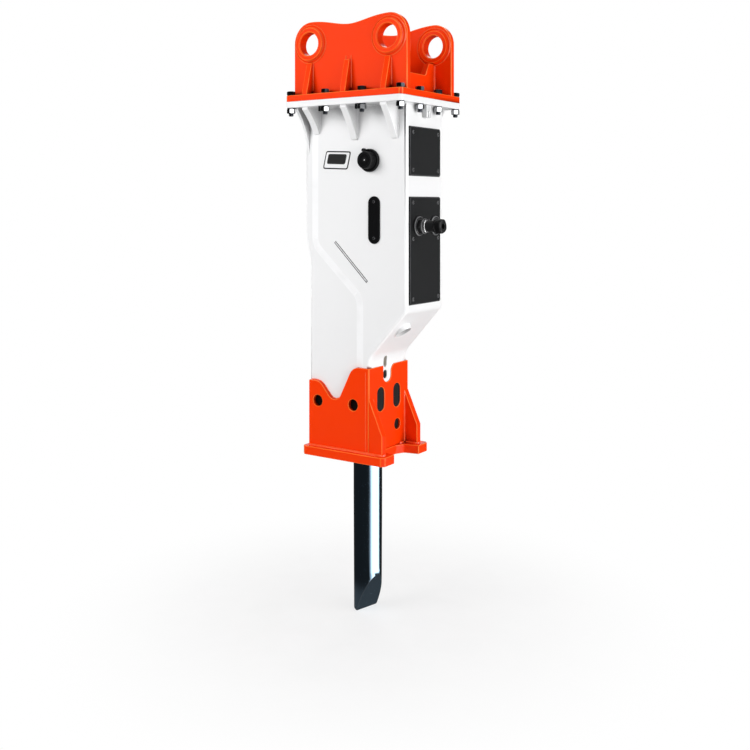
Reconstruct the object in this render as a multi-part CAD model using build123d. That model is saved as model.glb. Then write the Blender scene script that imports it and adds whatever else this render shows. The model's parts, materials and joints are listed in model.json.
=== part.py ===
"""Hydraulic breaker hammer for a 20 to 26 tonne excavator, as separate pieces.

The pieces are drawn about the working tool's axis (X = Y = 0) and the bolted
joint between the top bracket and the housing (Z = 0). publish() then shifts
them, so that the row's origin is the centre of the stick pin's bore.
+X points at the service covers, +Y runs along the pin bores, +Z is up.
All lengths are millimetres.
"""

from build123d import *

import math
import os

# ---------------------------------------------------------------- driving sizes
# Pin bores of the top bracket
STICK_PIN_X, LINK_PIN_X, PIN_Z = 263.0, -187.0, 275.0
PIN_R, BOSS_R, COLLAR_R = 55.0, 80.0, 91.0
BOSS_OUT, BOSS_IN = 232.0, 175.0
EAR_OUT, EAR_T, EAR_END_R, EAR_CROWN, EAR_DIP = 215.0, 30.0, 100.0, 8.0, 29.0

# Bolted flange
FLANGE_FRONT, FLANGE_REAR, FLANGE_HALF = 368.0, -300.0, 271.0
FLANGE_T, FLANGE_CHAMFER = 30.0, 12.0
BOLT_X, BOLT_Y = (-280.0, -74.0, 138.0, 349.0), 249.0
END_BOLT_Y = 83.0
BOLT_R, BOLT_AF, BOLT_HOLE_R = 12.0, 36.0, 13.0
BOLT_HEAD_H, NUT_H, WASHER_T, WASHER_R, THREAD_OUT = 16.0, 22.0, 4.0, 18.5, 14.0

# Housing, in plan
PANEL_OUT, WALL_OUT, WALL_T = 164.0, 152.0, 20.0
WALL_IN = WALL_OUT - WALL_T
FRONT_X, LOWER_FRONT_X = 327.0, 120.0
REAR_X, LOWER_REAR_X = -264.0, -236.0
CORNER_R, BEND_R, SLANT_BEND_R, REAR_INSET = 14.0, 80.0, 36.0, 14.0
GUSSET_T, GUSSET_HOLLOW = 34.0, 0.61
CORNER_GUSSET_REACH, CORNER_GUSSET_DROP, CORNER_GUSSET_T, CORNER_GUSSET_HOLLOW = 92.0, 220.0, 14.0, 0.42

# Housing, in height
SLANT_TOP, SLANT_LOW = -992.0, -1222.0
JOGGLE_TOP, JOGGLE_LOW = -640.0, -780.0
SKIRT_FRONT, SKIRT_REAR, SKIRT_VALLEY = -1268.0, -1350.0, -1431.0
BASE_TOP, BASE_LOW = -1667.0, -1710.0

# Raised panel's sloped edge on the wide faces
PANEL_EDGE = ((-180.0, -683.0), (86.0, -928.0))
PANEL_EDGE_W, PANEL_EDGE_R = 46.0, 70.0

# Service covers on the narrow face
COVER_HALF, COVER_MID, COVER_T = 135.5, -6.5, 8.0
UPPER_COVER, LOWER_COVER = (-137.0, -362.0), (-463.0, -959.0)
COVER_HOLE_HALF, COVER_SCREW_Y, COVER_SCREW_INSET = 94.0, 112.0, 25.0
LOWER_COVER_MID_SCREW = -655.0
PORT_Y, PORT_Z, PORT_HOLE_R = 73.0, -597.0, 30.0

# Wide-face plug and slot cover
PLUG_X, PLUG_Z, PLUG_HOLE_R = 124.0, -290.0, 40.0
SLOT_X, SLOT_TOP, SLOT_LOW, SLOT_R = 149.0, -458.0, -681.0, 33.0

# Round boss on the slanted part of the front wall, leaning down by a tilt
BOSS_Y, BOSS_UP, BOSS_TILT, BOSS_STAND = -63.0, 0.58, 14.0, 13.0
BOSS_OUT_R, BOSS_BORE_R = 44.0, 40.0

# Lower bracket
SKIRT_OUT, SKIRT_REAR_X, SKIRT_FRONT_X = 172.0, -231.0, 124.0
CLAW_X, CLAW_TOP, CLAW_KNEE, CLAW_T = 197.0, -1411.0, -1575.0, 35.0
BASE_FRONT, BASE_REAR, BASE_HALF = 225.0, -252.0, 202.0
KEY_SLOT_R, KEY_SLOT_H, KEY_Y, KEY_Z = 31.0, 116.0, 70.0, -1425.0
SIDE_HOLE_R, WALL_HOLE_R, SIDE_HOLES, SIDE_HOLE_Z = 27.5, 38.0, (-177.0, 32.0), -1447.0
BUSH_PIN_Y, BUSH_PIN_Z, BUSH_PIN_HOLE_R = 78.0, -1567.0, 26.0
TONGUE_Y, TONGUE_R, TONGUE_Z, TONGUE_FLARE_R = -14.0, 34.0, -1316.0, 36.0
TONGUE_SLOT_Y = -29.0
TONGUE_SLOTS = ((13.5, 55.0, -1249.0), (16.5, 42.0, -1311.0))
GUIDE_HALF, GUIDE_TOP, GUIDE_LOW, GUIDE_T = 50.0, -1205.0, -1284.0, 8.0

# Working tool
TOOL_R, TOOL_TIP_R, TOOL_TOP, TOOL_TIP = 70.0, 67.5, -1150.0, -2470.0
TOOL_NECK_R, TOOL_SHOULDER = 60.0, -1200.0
FACET_RISE, FACET_ANGLE, FACET_TURN = 22.0, 23.4, -13.7
TOOL_TRAVEL = 75.0
KEY_W, KEY_H, KEY_FLAT_LEN = 46.0, 100.0, 182.0
RUN = 0.08

# Power cell
CELL_X, CELL_Y = 135.0, 118.0
CELL_TOP, CYL_TOP, CYL_LOW, HEAD_LOW = -90.0, -330.0, -1060.0, -1650.0
HEAD_REAR, HEAD_FRONT, HEAD_HALF = -150.0, 98.0, 124.0
TIE_X, TIE_Y, TIE_R = 100.0, 93.0, 20.0
PISTON_R, PISTON_LOW_R, PISTON_TOP_R = 75.0, 60.0, 52.0
PISTON_LOW, PISTON_TOP = -1074.0, -250.0
LAND_LOW, LAND_TOP = -880.0, -560.0
BUSH_R, UPPER_BUSH_R = 88.0, 86.0

# Control valve and accumulator on the cylinder's front
VALVE_FRONT, VALVE_TOP, VALVE_LOW, VALVE_HALF = 300.0, -440.0, -720.0, 112.0
SPOOL_X, SPOOL_R, SPOOL_TRAVEL = 215.0, 26.0, 12.0
ACC_Z, ACC_R, ACC_SPLIT, ACC_FRONT = -860.0, 92.0, 190.0, 250.0

BIG = 4000.0


# ---------------------------------------------------------------- helpers
def publish(node, *solids):
    """Write one node's solids, shifted to the stick pin's centre."""
    placed = [Pos(-STICK_PIN_X, 0, -PIN_Z) * s for group in solids for s in group.solids()]
    export_step(Compound(children=placed), f"parts/{node}.step")


def block(x0, x1, y0, y1, z0, z1):
    """Box between two corners."""
    centre = ((x0 + x1) / 2, (y0 + y1) / 2, (z0 + z1) / 2)
    return Pos(*centre) * Box(abs(x1 - x0), abs(y1 - y0), abs(z1 - z0))


def rod_z(r, z0, z1, x=0.0, y=0.0):
    """Round bar along Z between two heights."""
    return Pos(x, y, (z0 + z1) / 2) * Cylinder(r, abs(z1 - z0))


def rod_x(r, x0, x1, y=0.0, z=0.0):
    """Round bar along X."""
    return Pos((x0 + x1) / 2, y, z) * Rot(0, 90, 0) * Cylinder(r, abs(x1 - x0))


def rod_y(r, y0, y1, x=0.0, z=0.0):
    """Round bar along Y."""
    return Pos(x, (y0 + y1) / 2, z) * Rot(90, 0, 0) * Cylinder(r, abs(y1 - y0))


def ring_z(outer, inner, z0, z1):
    """Ring about the tool's axis."""
    return rod_z(outer, z0, z1) - rod_z(inner, z0 - 1, z1 + 1)


def hex_bar(across_flats, height):
    """Hexagon bar standing on Z = 0, with flats towards +X and -X."""
    return extrude(RegularPolygon(across_flats / math.sqrt(3), 6, rotation=30), height)


def on_xz(face, y0, y1):
    """Extrude a face drawn in X and Z from y0 to y1."""
    low, high = min(y0, y1), max(y0, y1)
    return extrude(Plane.XZ.offset(-high) * face, high - low)


def on_yz(face, x0, x1):
    """Extrude a face drawn in Y and Z from x0 to x1."""
    return extrude(Plane.YZ.offset(x0) * face, x1 - x0)


def outline(*points):
    """Face inside a closed run of straight edges."""
    return make_face(Polyline(*points, close=True))


def rounded_outline(points, radii):
    """Face inside a closed outline, with one radius at each point but the first and last."""
    path = FilletPolyline(*points, radius=radii)
    return make_face([path, Line(points[-1], points[0])])


def obround(centre, r, height):
    """Upright slot outline in its own plane."""
    return Pos(*centre) * SlotOverall(height, 2 * r, rotation=90)


def mirrored(solid):
    """The same piece on the other side of the tool."""
    return mirror(solid, about=Plane.XZ)


def both_sides(solid):
    """A piece and its opposite number."""
    return [solid, mirrored(solid)]


def bolt_places():
    """The twelve flange bolts: four on each long side, two more on each end."""
    sides = [(x, y) for x in BOLT_X for y in (-BOLT_Y, BOLT_Y)]
    ends = [(x, y) for x in (BOLT_X[0], BOLT_X[-1]) for y in (-END_BOLT_Y, END_BOLT_Y)]
    return sides + ends


# ---------------------------------------------------------------- top bracket
def flange_plate(z0, z1):
    """Plate of the bolted joint with its corners cut and its bolt holes."""
    plate = block(FLANGE_REAR, FLANGE_FRONT, -FLANGE_HALF, FLANGE_HALF, z0, z1)
    plate = chamfer(plate.edges().filter_by(Axis.Z), FLANGE_CHAMFER)
    for x, y in bolt_places():
        plate -= rod_z(BOLT_HOLE_R, z0 - 1, z1 + 1, x, y)
    return plate


def ear():
    """Ear plate on the -Y side, with a shallow dip between its two round ends."""
    crown = PIN_Z + EAR_CROWN
    top = crown + EAR_END_R
    diagonal = math.sqrt(0.5) * EAR_END_R
    rear, front = LINK_PIN_X - EAR_END_R, STICK_PIN_X + EAR_END_R
    middle = (STICK_PIN_X + LINK_PIN_X) / 2
    left = ThreePointArc((rear, crown), (LINK_PIN_X - diagonal, crown + diagonal), (LINK_PIN_X, top))
    dip = Spline((LINK_PIN_X, top), (middle, top - EAR_DIP), (STICK_PIN_X, top),
                 tangents=((1, 0), (1, 0)))
    right = ThreePointArc((STICK_PIN_X, top), (STICK_PIN_X + diagonal, crown + diagonal), (front, crown))
    foot = Polyline((front, crown), (front, FLANGE_T), (rear, FLANGE_T), (rear, crown))
    plate = on_xz(make_face([left, dip, right, foot]), -EAR_OUT, -EAR_OUT + EAR_T)
    plate = fillet(plate.edges().filter_by(GeomType.LINE, reverse=True), 5.0)
    for x in (LINK_PIN_X, STICK_PIN_X):
        plate -= rod_y(BOSS_R, -EAR_OUT - 1, -EAR_OUT + EAR_T + 1, x, PIN_Z)
    return plate


def boss(x):
    """Bored boss through an ear, with a sloped weld collar on both faces."""
    body = rod_y(BOSS_R, -BOSS_OUT, -BOSS_IN, x, PIN_Z)
    body = chamfer(body.edges().filter_by(GeomType.CIRCLE), 3.0)
    collar_t = 7.0
    for face_y, sign in ((-EAR_OUT, -1), (-EAR_OUT + EAR_T, 1)):
        cone = Cone(COLLAR_R, BOSS_R, collar_t)
        turn = Rot(90, 0, 0) if sign < 0 else Rot(-90, 0, 0)
        body += Pos(x, face_y + sign * collar_t / 2, PIN_Z) * turn * cone
    bore = rod_y(PIN_R, -BOSS_OUT - 1, -BOSS_IN + 1, x, PIN_Z)
    body -= bore
    rim = body.edges().filter_by(GeomType.CIRCLE).filter_by(lambda e: abs(e.radius - PIN_R) < 0.01)
    return chamfer(rim, 4.0)


def ear_gusset(x, top):
    """Stiffener outside an ear, with a weld notch at its inner foot."""
    foot = FLANGE_HALF - 7.0
    face = outline((-EAR_OUT, FLANGE_T), (-EAR_OUT, top), (-EAR_OUT - 10, top), (-foot, FLANGE_T + 12),
                   (-foot, FLANGE_T))
    plate = on_yz(face, x - EAR_T / 2, x + EAR_T / 2)
    plate -= rod_x(16.0, x - EAR_T, x + EAR_T, -EAR_OUT, FLANGE_T)
    return plate - rod_y(COLLAR_R + 0.5, -BIG / 10, 0, x, PIN_Z)


def saddle_plate(x):
    """Cross plate between the ears, dished in the middle and with a horn at each ear."""
    inner = EAR_OUT - EAR_T
    low, high, dish, shoulder = FLANGE_T, 190.0, 128.0, 135.0
    points = ((-inner, low), (-inner, high), (-shoulder, high), (-102, dish), (102, dish),
              (shoulder, high), (inner, high), (inner, low))
    face = rounded_outline(points, [10.0, 10.0, 16.0, 16.0, 10.0, 10.0])
    return on_yz(face, x - EAR_T / 2, x + EAR_T / 2)


def build_top_bracket():
    """The orange bracket that the excavator's stick is pinned to."""
    gusset_tops = ((LINK_PIN_X, 188.0), ((STICK_PIN_X + LINK_PIN_X) / 2, 208.0), (STICK_PIN_X, 184.0))
    gussets = [ear_gusset(x, top) for x, top in gusset_tops]
    bosses = [boss(x) for x in (LINK_PIN_X, STICK_PIN_X)]
    publish("bracket_base_plate", flange_plate(0, FLANGE_T))
    publish("ear_plate_near", ear())
    publish("ear_plate_far", mirrored(ear()))
    publish("pin_bosses", *[s for b in bosses for s in both_sides(b)])
    publish("ear_gussets", *[s for g in gussets for s in both_sides(g)])
    publish("saddle_plates", saddle_plate(LINK_PIN_X), saddle_plate(STICK_PIN_X - 10))


# ---------------------------------------------------------------- flange fasteners
def build_flange_fasteners():
    """Hexagon bolts, washers and nuts of the bracket's joint."""
    stack = FLANGE_T + WASHER_T
    bolts, washers, nuts = [], [], []
    for x, y in bolt_places():
        head = Pos(x, y, stack) * hex_bar(BOLT_AF, BOLT_HEAD_H)
        head = chamfer(head.edges().group_by(Axis.Z)[-1], 1.5)
        shank = rod_z(BOLT_R, stack, -stack - NUT_H - THREAD_OUT, x, y)
        bolts.append(head + chamfer(shank.edges().group_by(Axis.Z)[0], 2.0))
        ring = rod_z(WASHER_R, FLANGE_T, stack, x, y) - rod_z(BOLT_HOLE_R, 0, stack + 1, x, y)
        washers += [ring, Pos(0, 0, -FLANGE_T - stack) * ring]
        nut = Pos(x, y, -stack - NUT_H) * hex_bar(BOLT_AF, NUT_H)
        nut = chamfer(nut.edges().group_by(Axis.Z)[0] + nut.edges().group_by(Axis.Z)[-1], 1.5)
        nuts.append(nut - rod_z(BOLT_R, -stack - NUT_H - 1, -stack + 1, x, y))
    publish("flange_bolts", *bolts)
    publish("flange_washers", *washers)
    publish("flange_nuts", *nuts)


# ---------------------------------------------------------------- housing
def side_profile():
    """Outer outline of the housing seen on its wide face, open past top and bottom."""
    over = 60.0
    points = ((FRONT_X, over), (FRONT_X, SLANT_TOP), (LOWER_FRONT_X, SLANT_LOW),
              (LOWER_FRONT_X, BASE_LOW - over), (LOWER_REAR_X, BASE_LOW - over),
              (LOWER_REAR_X, JOGGLE_LOW), (REAR_X, JOGGLE_TOP), (REAR_X, over))
    return rounded_outline(points, [SLANT_BEND_R, BEND_R, 1.0, 1.0, 250.0, 250.0])


def panel_edge(offset):
    """Lower-left edge of the raised panel, moved out by an offset, with concentric bends."""
    (x0, z0), (x1, z1) = PANEL_EDGE
    slope = math.atan2(z1 - z0, x1 - x0)
    lift = math.tan(-slope / 2) * offset
    top, low = -FLANGE_T, SKIRT_FRONT
    points = ((x0 - offset, top), (x0 - offset, z0 - lift), (x1 - offset, z1 - lift), (x1 - offset, low))
    radii = [PANEL_EDGE_R + offset, PANEL_EDGE_R + PANEL_EDGE_W - offset]
    return points, radii


def panel_section(offset):
    """Section of the raised panel: its sloped edge closed along the front, past the housing."""
    points, radii = panel_edge(offset)
    far = FRONT_X + 60.0
    edge = FilletPolyline(*points, radius=radii)
    return make_face([edge, Polyline(points[-1], (far, SKIRT_FRONT), (far, -FLANGE_T), points[0])])


def raised_panel():
    """Raised panel of a wide face, on the -Y side, with its sloped edge."""
    low = Pos(0, -WALL_OUT, 0) * Rot(90, 0, 0) * panel_section(PANEL_EDGE_W)
    high = Pos(0, -PANEL_OUT, 0) * Rot(90, 0, 0) * panel_section(0.0)
    panel = loft([low, high], ruled=True)
    return panel & on_xz(side_profile(), -PANEL_OUT - 1, -WALL_OUT + 1)


def side_wall():
    """Wide side wall on the -Y side: wall, raised panel, rounded corners and openings."""
    trim = block(-BIG, BIG, -BIG, 0, BASE_TOP, -FLANGE_T)
    wall = on_xz(side_profile(), -WALL_OUT, -WALL_IN) & trim
    wall += raised_panel()
    edges = wall.edges().filter_by(lambda e: abs(e.center().Y + PANEL_OUT) < 0.5
                                   and e.center().X > LOWER_FRONT_X - 2 and e.center().Z < -FLANGE_T - 1
                                   and e.center().Z > SKIRT_FRONT + 1)
    wall = fillet(edges, CORNER_R)
    rear = wall.edges().filter_by(lambda e: abs(e.center().Y + WALL_OUT) < 0.5
                                  and e.center().X < LOWER_REAR_X + 2 and e.center().Z < -FLANGE_T - 1
                                  and e.center().Z > BASE_TOP + 1)
    wall = fillet(rear, 8.0)
    wall -= block(SKIRT_FRONT_X - WALL_T, BIG, -BIG, 0, -BIG, SKIRT_FRONT)
    for x in SIDE_HOLES:
        wall -= rod_y(WALL_HOLE_R, -WALL_OUT - 20, 0, x, SIDE_HOLE_Z)
    return wall


def near_side_wall():
    """Near side wall, which also has the plug hole and the inspection slot."""
    wall = side_wall()
    wall -= rod_y(PLUG_HOLE_R, -BIG, 0, PLUG_X, PLUG_Z)
    slot_z, slot_h = (SLOT_TOP + SLOT_LOW) / 2, SLOT_TOP - SLOT_LOW
    wall -= on_xz(obround((SLOT_X, slot_z), SLOT_R - 8, slot_h - 16), -BIG / 10, 0)
    for z in side_screw_heights():
        wall -= rod_y(4.0, -PANEL_OUT - 1, -PANEL_OUT + 22, SLOT_X, z)
    return wall


def side_screw_heights():
    """The two screws of the slot cover sit in solid wall past the slot's ends."""
    return SLOT_TOP - 26.0, SLOT_LOW + 26.0


def tongue(clearance=0.0):
    """Tongue of the front wall that fills the notch in the lower bracket."""
    r, flare_r = TONGUE_R - clearance, TONGUE_FLARE_R + clearance
    left, right = TONGUE_Y - r, TONGUE_Y + r
    flare, low, top = right + flare_r, SKIRT_FRONT - TONGUE_FLARE_R, SKIRT_FRONT + 2
    diagonal = math.sqrt(0.5) * flare_r
    round_end = ThreePointArc((left, TONGUE_Z), (TONGUE_Y, TONGUE_Z - r), (right, TONGUE_Z))
    side = Line((right, TONGUE_Z), (right, low))
    shoulder = ThreePointArc((right, low), (flare - diagonal, low + diagonal), (flare, low + flare_r))
    rest = Polyline((flare, low + flare_r), (flare, top), (left, top), (left, TONGUE_Z))
    return make_face([round_end, side, shoulder, rest])


def shell_ring(inset):
    """Bent strip of wall thickness that follows the housing's outline, set in by an inset."""
    profile = side_profile()
    outer = offset(profile, -inset, kind=Kind.INTERSECTION) if inset else profile
    strip = outer - offset(profile, -inset - WALL_T, kind=Kind.INTERSECTION)
    return on_xz(strip, -WALL_IN, WALL_IN)


def screw_places(cover):
    """Corner screws of a cover on the narrow face, as (y, z)."""
    heights = [cover[0] - COVER_SCREW_INSET, cover[1] + COVER_SCREW_INSET]
    if cover is LOWER_COVER:
        heights.insert(1, LOWER_COVER_MID_SCREW)
    return [(COVER_MID + y, z) for y in (-COVER_SCREW_Y, COVER_SCREW_Y) for z in heights]


def slant_rod(r, inward, outward):
    """Round bar about the boss's centre line, which leans down from square to the slanted wall."""
    run, drop = FRONT_X - LOWER_FRONT_X, SLANT_TOP - SLANT_LOW
    angle = math.degrees(math.atan2(run, drop)) + BOSS_TILT
    foot = (LOWER_FRONT_X + BOSS_UP * run, BOSS_Y, SLANT_LOW + BOSS_UP * drop)
    bar = Pos(0, 0, (outward - inward) / 2) * Cylinder(r, inward + outward)
    return Pos(*foot) * Rot(0, 90 + angle, 0) * bar


def front_wall():
    """Front wall: cover openings, slant with its round boss, and the slotted tongue."""
    wall = shell_ring(0) & block(LOWER_FRONT_X - 60, BIG, -BIG, BIG, SKIRT_FRONT, -FLANGE_T)
    wall += on_yz(tongue(1.0), LOWER_FRONT_X - WALL_T, LOWER_FRONT_X)
    for cover in (UPPER_COVER, LOWER_COVER):
        z0, z1 = cover[1] + 48, cover[0] - 48
        y0, y1 = COVER_MID - COVER_HOLE_HALF, COVER_MID + COVER_HOLE_HALF
        wall -= block(FRONT_X - 60, FRONT_X + 60, y0, y1, z0, z1)
        for y, z in screw_places(cover):
            wall -= rod_x(5.0, FRONT_X - 60, FRONT_X + 60, y, z)
    for y in (-PORT_Y, PORT_Y):
        wall -= rod_x(PORT_HOLE_R, FRONT_X - 60, FRONT_X + 60, y, PORT_Z)
    boss = chamfer(slant_rod(BOSS_OUT_R, 15.0, BOSS_STAND).edges().filter_by(GeomType.CIRCLE), 1.5)
    wall = (wall + boss) - slant_rod(BOSS_BORE_R, 60.0, BOSS_STAND + 1)
    for r, height, z in TONGUE_SLOTS:
        wall -= on_yz(obround((TONGUE_SLOT_Y, z), r, height), 0, BIG / 10)
    return wall


def rear_wall():
    """Rear wall, set in from the side walls' edges, down to the lower bracket's rear plate."""
    return shell_ring(REAR_INSET) & block(-BIG, -100, -BIG, BIG, SKIRT_REAR, -FLANGE_T)


def housing_flange():
    """Upper flange of the housing, open inside for the cushion."""
    x0, x1, half = REAR_X + REAR_INSET + WALL_T + 4, FRONT_X - WALL_T - 4, WALL_IN - 4
    opening = block(x0, x1, -half, half, -FLANGE_T - 1, 1)
    opening = fillet(opening.edges().filter_by(Axis.Z), 30.0)
    return flange_plate(-FLANGE_T, 0) - opening


def flange_gusset(length, reach, drop, hollow):
    """Upright stiffener, drawn from (0, 0) out and down; its sloping edge is hollow below 0.61."""
    edge = ThreePointArc((reach, -12), (hollow * reach, -0.40 * drop), (length, -drop))
    rest = Polyline((length, -drop), (0, -drop), (0, 0), (reach, 0), (reach, -12))
    return make_face([edge, rest])


def housing_gussets():
    """Stiffeners under the flange on the wide faces: three thick ones and a long one at the rear."""
    reach = FLANGE_HALF - PANEL_OUT - 8
    solids = []
    for x, drop in ((LINK_PIN_X + 1, 124.0), (38.0, 160.0), (STICK_PIN_X, 160.0)):
        face = Pos(PANEL_OUT, -FLANGE_T) * flange_gusset(8.0, reach, drop, GUSSET_HOLLOW)
        solids += both_sides(on_yz(face, x - GUSSET_T / 2, x + GUSSET_T / 2))
    corner = flange_gusset(2.0, CORNER_GUSSET_REACH, CORNER_GUSSET_DROP, CORNER_GUSSET_HOLLOW)
    corner = Pos(WALL_OUT, -FLANGE_T) * corner
    solids += both_sides(on_yz(corner, REAR_X + 8, REAR_X + 8 + CORNER_GUSSET_T))
    return solids


def rear_gussets():
    """Two stiffeners behind the rear wall, under the flange."""
    root = -REAR_X - REAR_INSET
    reach = -FLANGE_REAR - root - 6
    face = Pos(root, -FLANGE_T) * flange_gusset(4.0, reach, 150.0, CORNER_GUSSET_HOLLOW)
    plate = mirror(on_xz(face, -WALL_IN + 2, -WALL_IN + 24), about=Plane.YZ)
    return both_sides(plate)


def hose_bracket():
    """Small bracket under the flange on the narrow face."""
    plate = block(FRONT_X, FRONT_X + 25, -25, 13, -FLANGE_T - 60, -FLANGE_T)
    plate -= block(FRONT_X + 17, FRONT_X + 40, -20, -1, -FLANGE_T - 56, -FLANGE_T - 28)
    return fillet(plate.edges().filter_by(Axis.X), 4.0)


def build_housing():
    """The white steel box that holds the power cell."""
    publish("housing_flange", housing_flange())
    publish("housing_side_near", near_side_wall())
    publish("housing_side_far", mirrored(side_wall()))
    publish("housing_front", front_wall())
    publish("housing_rear", rear_wall())
    publish("housing_gussets", *housing_gussets(), *rear_gussets())
    publish("hose_bracket", hose_bracket())


# ---------------------------------------------------------------- lower bracket
def skirt_side():
    """Orange side plate on the -Y side with its waved upper edge."""
    inner = SKIRT_FRONT_X - WALL_T
    points = ((SKIRT_REAR_X, BASE_TOP), (SKIRT_REAR_X, SKIRT_REAR), (-167, SKIRT_REAR),
              (-99, SKIRT_VALLEY), (-53, SKIRT_VALLEY), (28, SKIRT_FRONT), (inner, SKIRT_FRONT),
              (inner, BASE_TOP))
    face = rounded_outline(points, [4.0, 60.0, 40.0, 40.0, 60.0, 1.0])
    plate = on_xz(face, -SKIRT_OUT, -WALL_OUT)
    for x in SIDE_HOLES:
        plate -= rod_y(SIDE_HOLE_R, -BIG / 10, 0, x, SIDE_HOLE_Z)
    return plate


def skirt_front():
    """Orange front plate: notch, two key slots and the bush pin's hole."""
    half = SKIRT_OUT
    plate = block(SKIRT_FRONT_X - WALL_T, SKIRT_FRONT_X, -half, half, BASE_TOP, SKIRT_FRONT)
    plate = chamfer(plate.edges().filter_by(Axis.Z).filter_by(lambda e: e.center().X > SKIRT_FRONT_X - 1), 3)
    plate -= on_yz(tongue(), 0, BIG / 10)
    for y in (-KEY_Y, KEY_Y):
        plate -= on_yz(obround((y, KEY_Z), KEY_SLOT_R, KEY_SLOT_H), 0, BIG / 10)
    plate -= rod_x(BUSH_PIN_HOLE_R, 0, BIG / 10, BUSH_PIN_Y - 4, BUSH_PIN_Z)
    return plate


def claw():
    """Tapered stiffener from the front plate to the base plate, on the -Y side."""
    face = outline((SKIRT_FRONT_X, BASE_TOP), (SKIRT_FRONT_X, CLAW_TOP), (CLAW_X, CLAW_KNEE),
                   (CLAW_X, BASE_TOP))
    return on_xz(face, -SKIRT_OUT, -SKIRT_OUT + CLAW_T)


def base_plate():
    """Thick base plate with the tool's hole and a recess between the claws."""
    plate = block(BASE_REAR, BASE_FRONT, -BASE_HALF, BASE_HALF, BASE_LOW, BASE_TOP)
    plate = chamfer(plate.edges().filter_by(Axis.Z), 16.0)
    points = ((BASE_FRONT + 20, -112), (BASE_FRONT, -108), (150, -92), (132, -50), (132, 50), (150, 92),
              (BASE_FRONT, 108), (BASE_FRONT + 20, 112))
    recess = rounded_outline(points, [10.0, 20.0, 30.0, 30.0, 20.0, 10.0])
    plate -= Pos(0, 0, BASE_LOW - 1) * extrude(recess, BASE_TOP - BASE_LOW + 2)
    return plate - rod_z(BUSH_R + 4, BASE_LOW - 1, BASE_TOP + 1)


def build_lower_bracket():
    """The orange wear plates and claws round the front head."""
    publish("skirt_side_near", skirt_side())
    publish("skirt_side_far", mirrored(skirt_side()))
    publish("skirt_front", skirt_front())
    rear_x = LOWER_REAR_X + REAR_INSET
    publish("skirt_rear", block(rear_x, rear_x + WALL_T, -WALL_IN, WALL_IN, BASE_TOP, SKIRT_REAR))
    publish("claws", *both_sides(claw()))
    publish("base_plate", base_plate())


# ---------------------------------------------------------------- covers and ports
def cover(span):
    """Flat service cover on the narrow face."""
    y0, y1 = COVER_MID - COVER_HALF, COVER_MID + COVER_HALF
    plate = block(FRONT_X, FRONT_X + COVER_T, y0, y1, span[1], span[0])
    plate = fillet(plate.edges().filter_by(Axis.X), 9.0)
    plate = chamfer(plate.faces().sort_by(Axis.X)[-1].edges(), 1.5)
    for y, z in screw_places(span):
        plate -= rod_x(5.5, FRONT_X - 1, FRONT_X + COVER_T + 1, y, z)
    return plate


def button_screw(r_shank, r_head, head_h, depth):
    """Button head screw on the Z axis: its head stands on Z = 0."""
    head = Pos(0, 0, head_h / 2) * Cylinder(r_head, head_h)
    head = fillet(head.edges().group_by(Axis.Z)[-1], head_h * 0.6)
    head -= Pos(0, 0, head_h - 2.5) * hex_bar(r_head * 0.7, 5)
    return head + Pos(0, 0, -depth / 2) * Cylinder(r_shank, depth)


def cover_screws():
    """Screws of both covers on the narrow face."""
    screw = Rot(0, 90, 0) * button_screw(4.9, 9.0, 5.0, 24.0)
    places = screw_places(UPPER_COVER) + screw_places(LOWER_COVER)
    return [Pos(FRONT_X + COVER_T, y, z) * screw for y, z in places]


def side_cover():
    """Obround cover of the inspection slot."""
    centre, height = (SLOT_TOP + SLOT_LOW) / 2, SLOT_TOP - SLOT_LOW
    plate = on_xz(obround((SLOT_X, centre), SLOT_R, height), -PANEL_OUT - 5, -PANEL_OUT)
    plate = chamfer(plate.faces().sort_by(Axis.Y)[0].edges(), 1.5)
    for z in side_screw_heights():
        plate -= rod_y(4.5, -PANEL_OUT - 6, -PANEL_OUT + 1, SLOT_X, z)
    return plate


def charging_plug():
    """Rubber plug of the charging hole: collar, tall cap and a round pull nub."""
    face = -PANEL_OUT
    collar = rod_y(54.5, face - 14, face, PLUG_X, PLUG_Z)
    plug = fillet(collar.edges().filter_by(GeomType.CIRCLE).sort_by(Axis.Y)[:1], 5.0)
    cap = rod_y(41.0, face - 49, face - 10, PLUG_X, PLUG_Z)
    plug += fillet(cap.edges().filter_by(GeomType.CIRCLE).sort_by(Axis.Y)[:1], 5.0)
    nub = rod_y(9.0, face - 46, face - 26, PLUG_X - 10, PLUG_Z + 47)
    plug += fillet(nub.edges().filter_by(GeomType.CIRCLE), 3.0)
    plug += rod_y(PLUG_HOLE_R - 0.3, face, face + 34, PLUG_X, PLUG_Z)
    return plug - rod_y(PLUG_HOLE_R - 8, face + 4, face + 40, PLUG_X, PLUG_Z)


def key_plug(y):
    """Rubber plug pressed into a key slot of the front plate, just below its face."""
    slot = obround((y, KEY_Z), KEY_SLOT_R - 0.2, KEY_SLOT_H - 0.4)
    plug = on_yz(slot, SKIRT_FRONT_X - WALL_T, SKIRT_FRONT_X - 3)
    rim = plug.faces().sort_by(Axis.X)[-1].edges()
    plug = chamfer(rim, 2.0)
    dish = obround((y, KEY_Z), KEY_SLOT_R - 10, KEY_SLOT_H - 20)
    return plug - on_yz(dish, SKIRT_FRONT_X - 6, SKIRT_FRONT_X)


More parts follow.
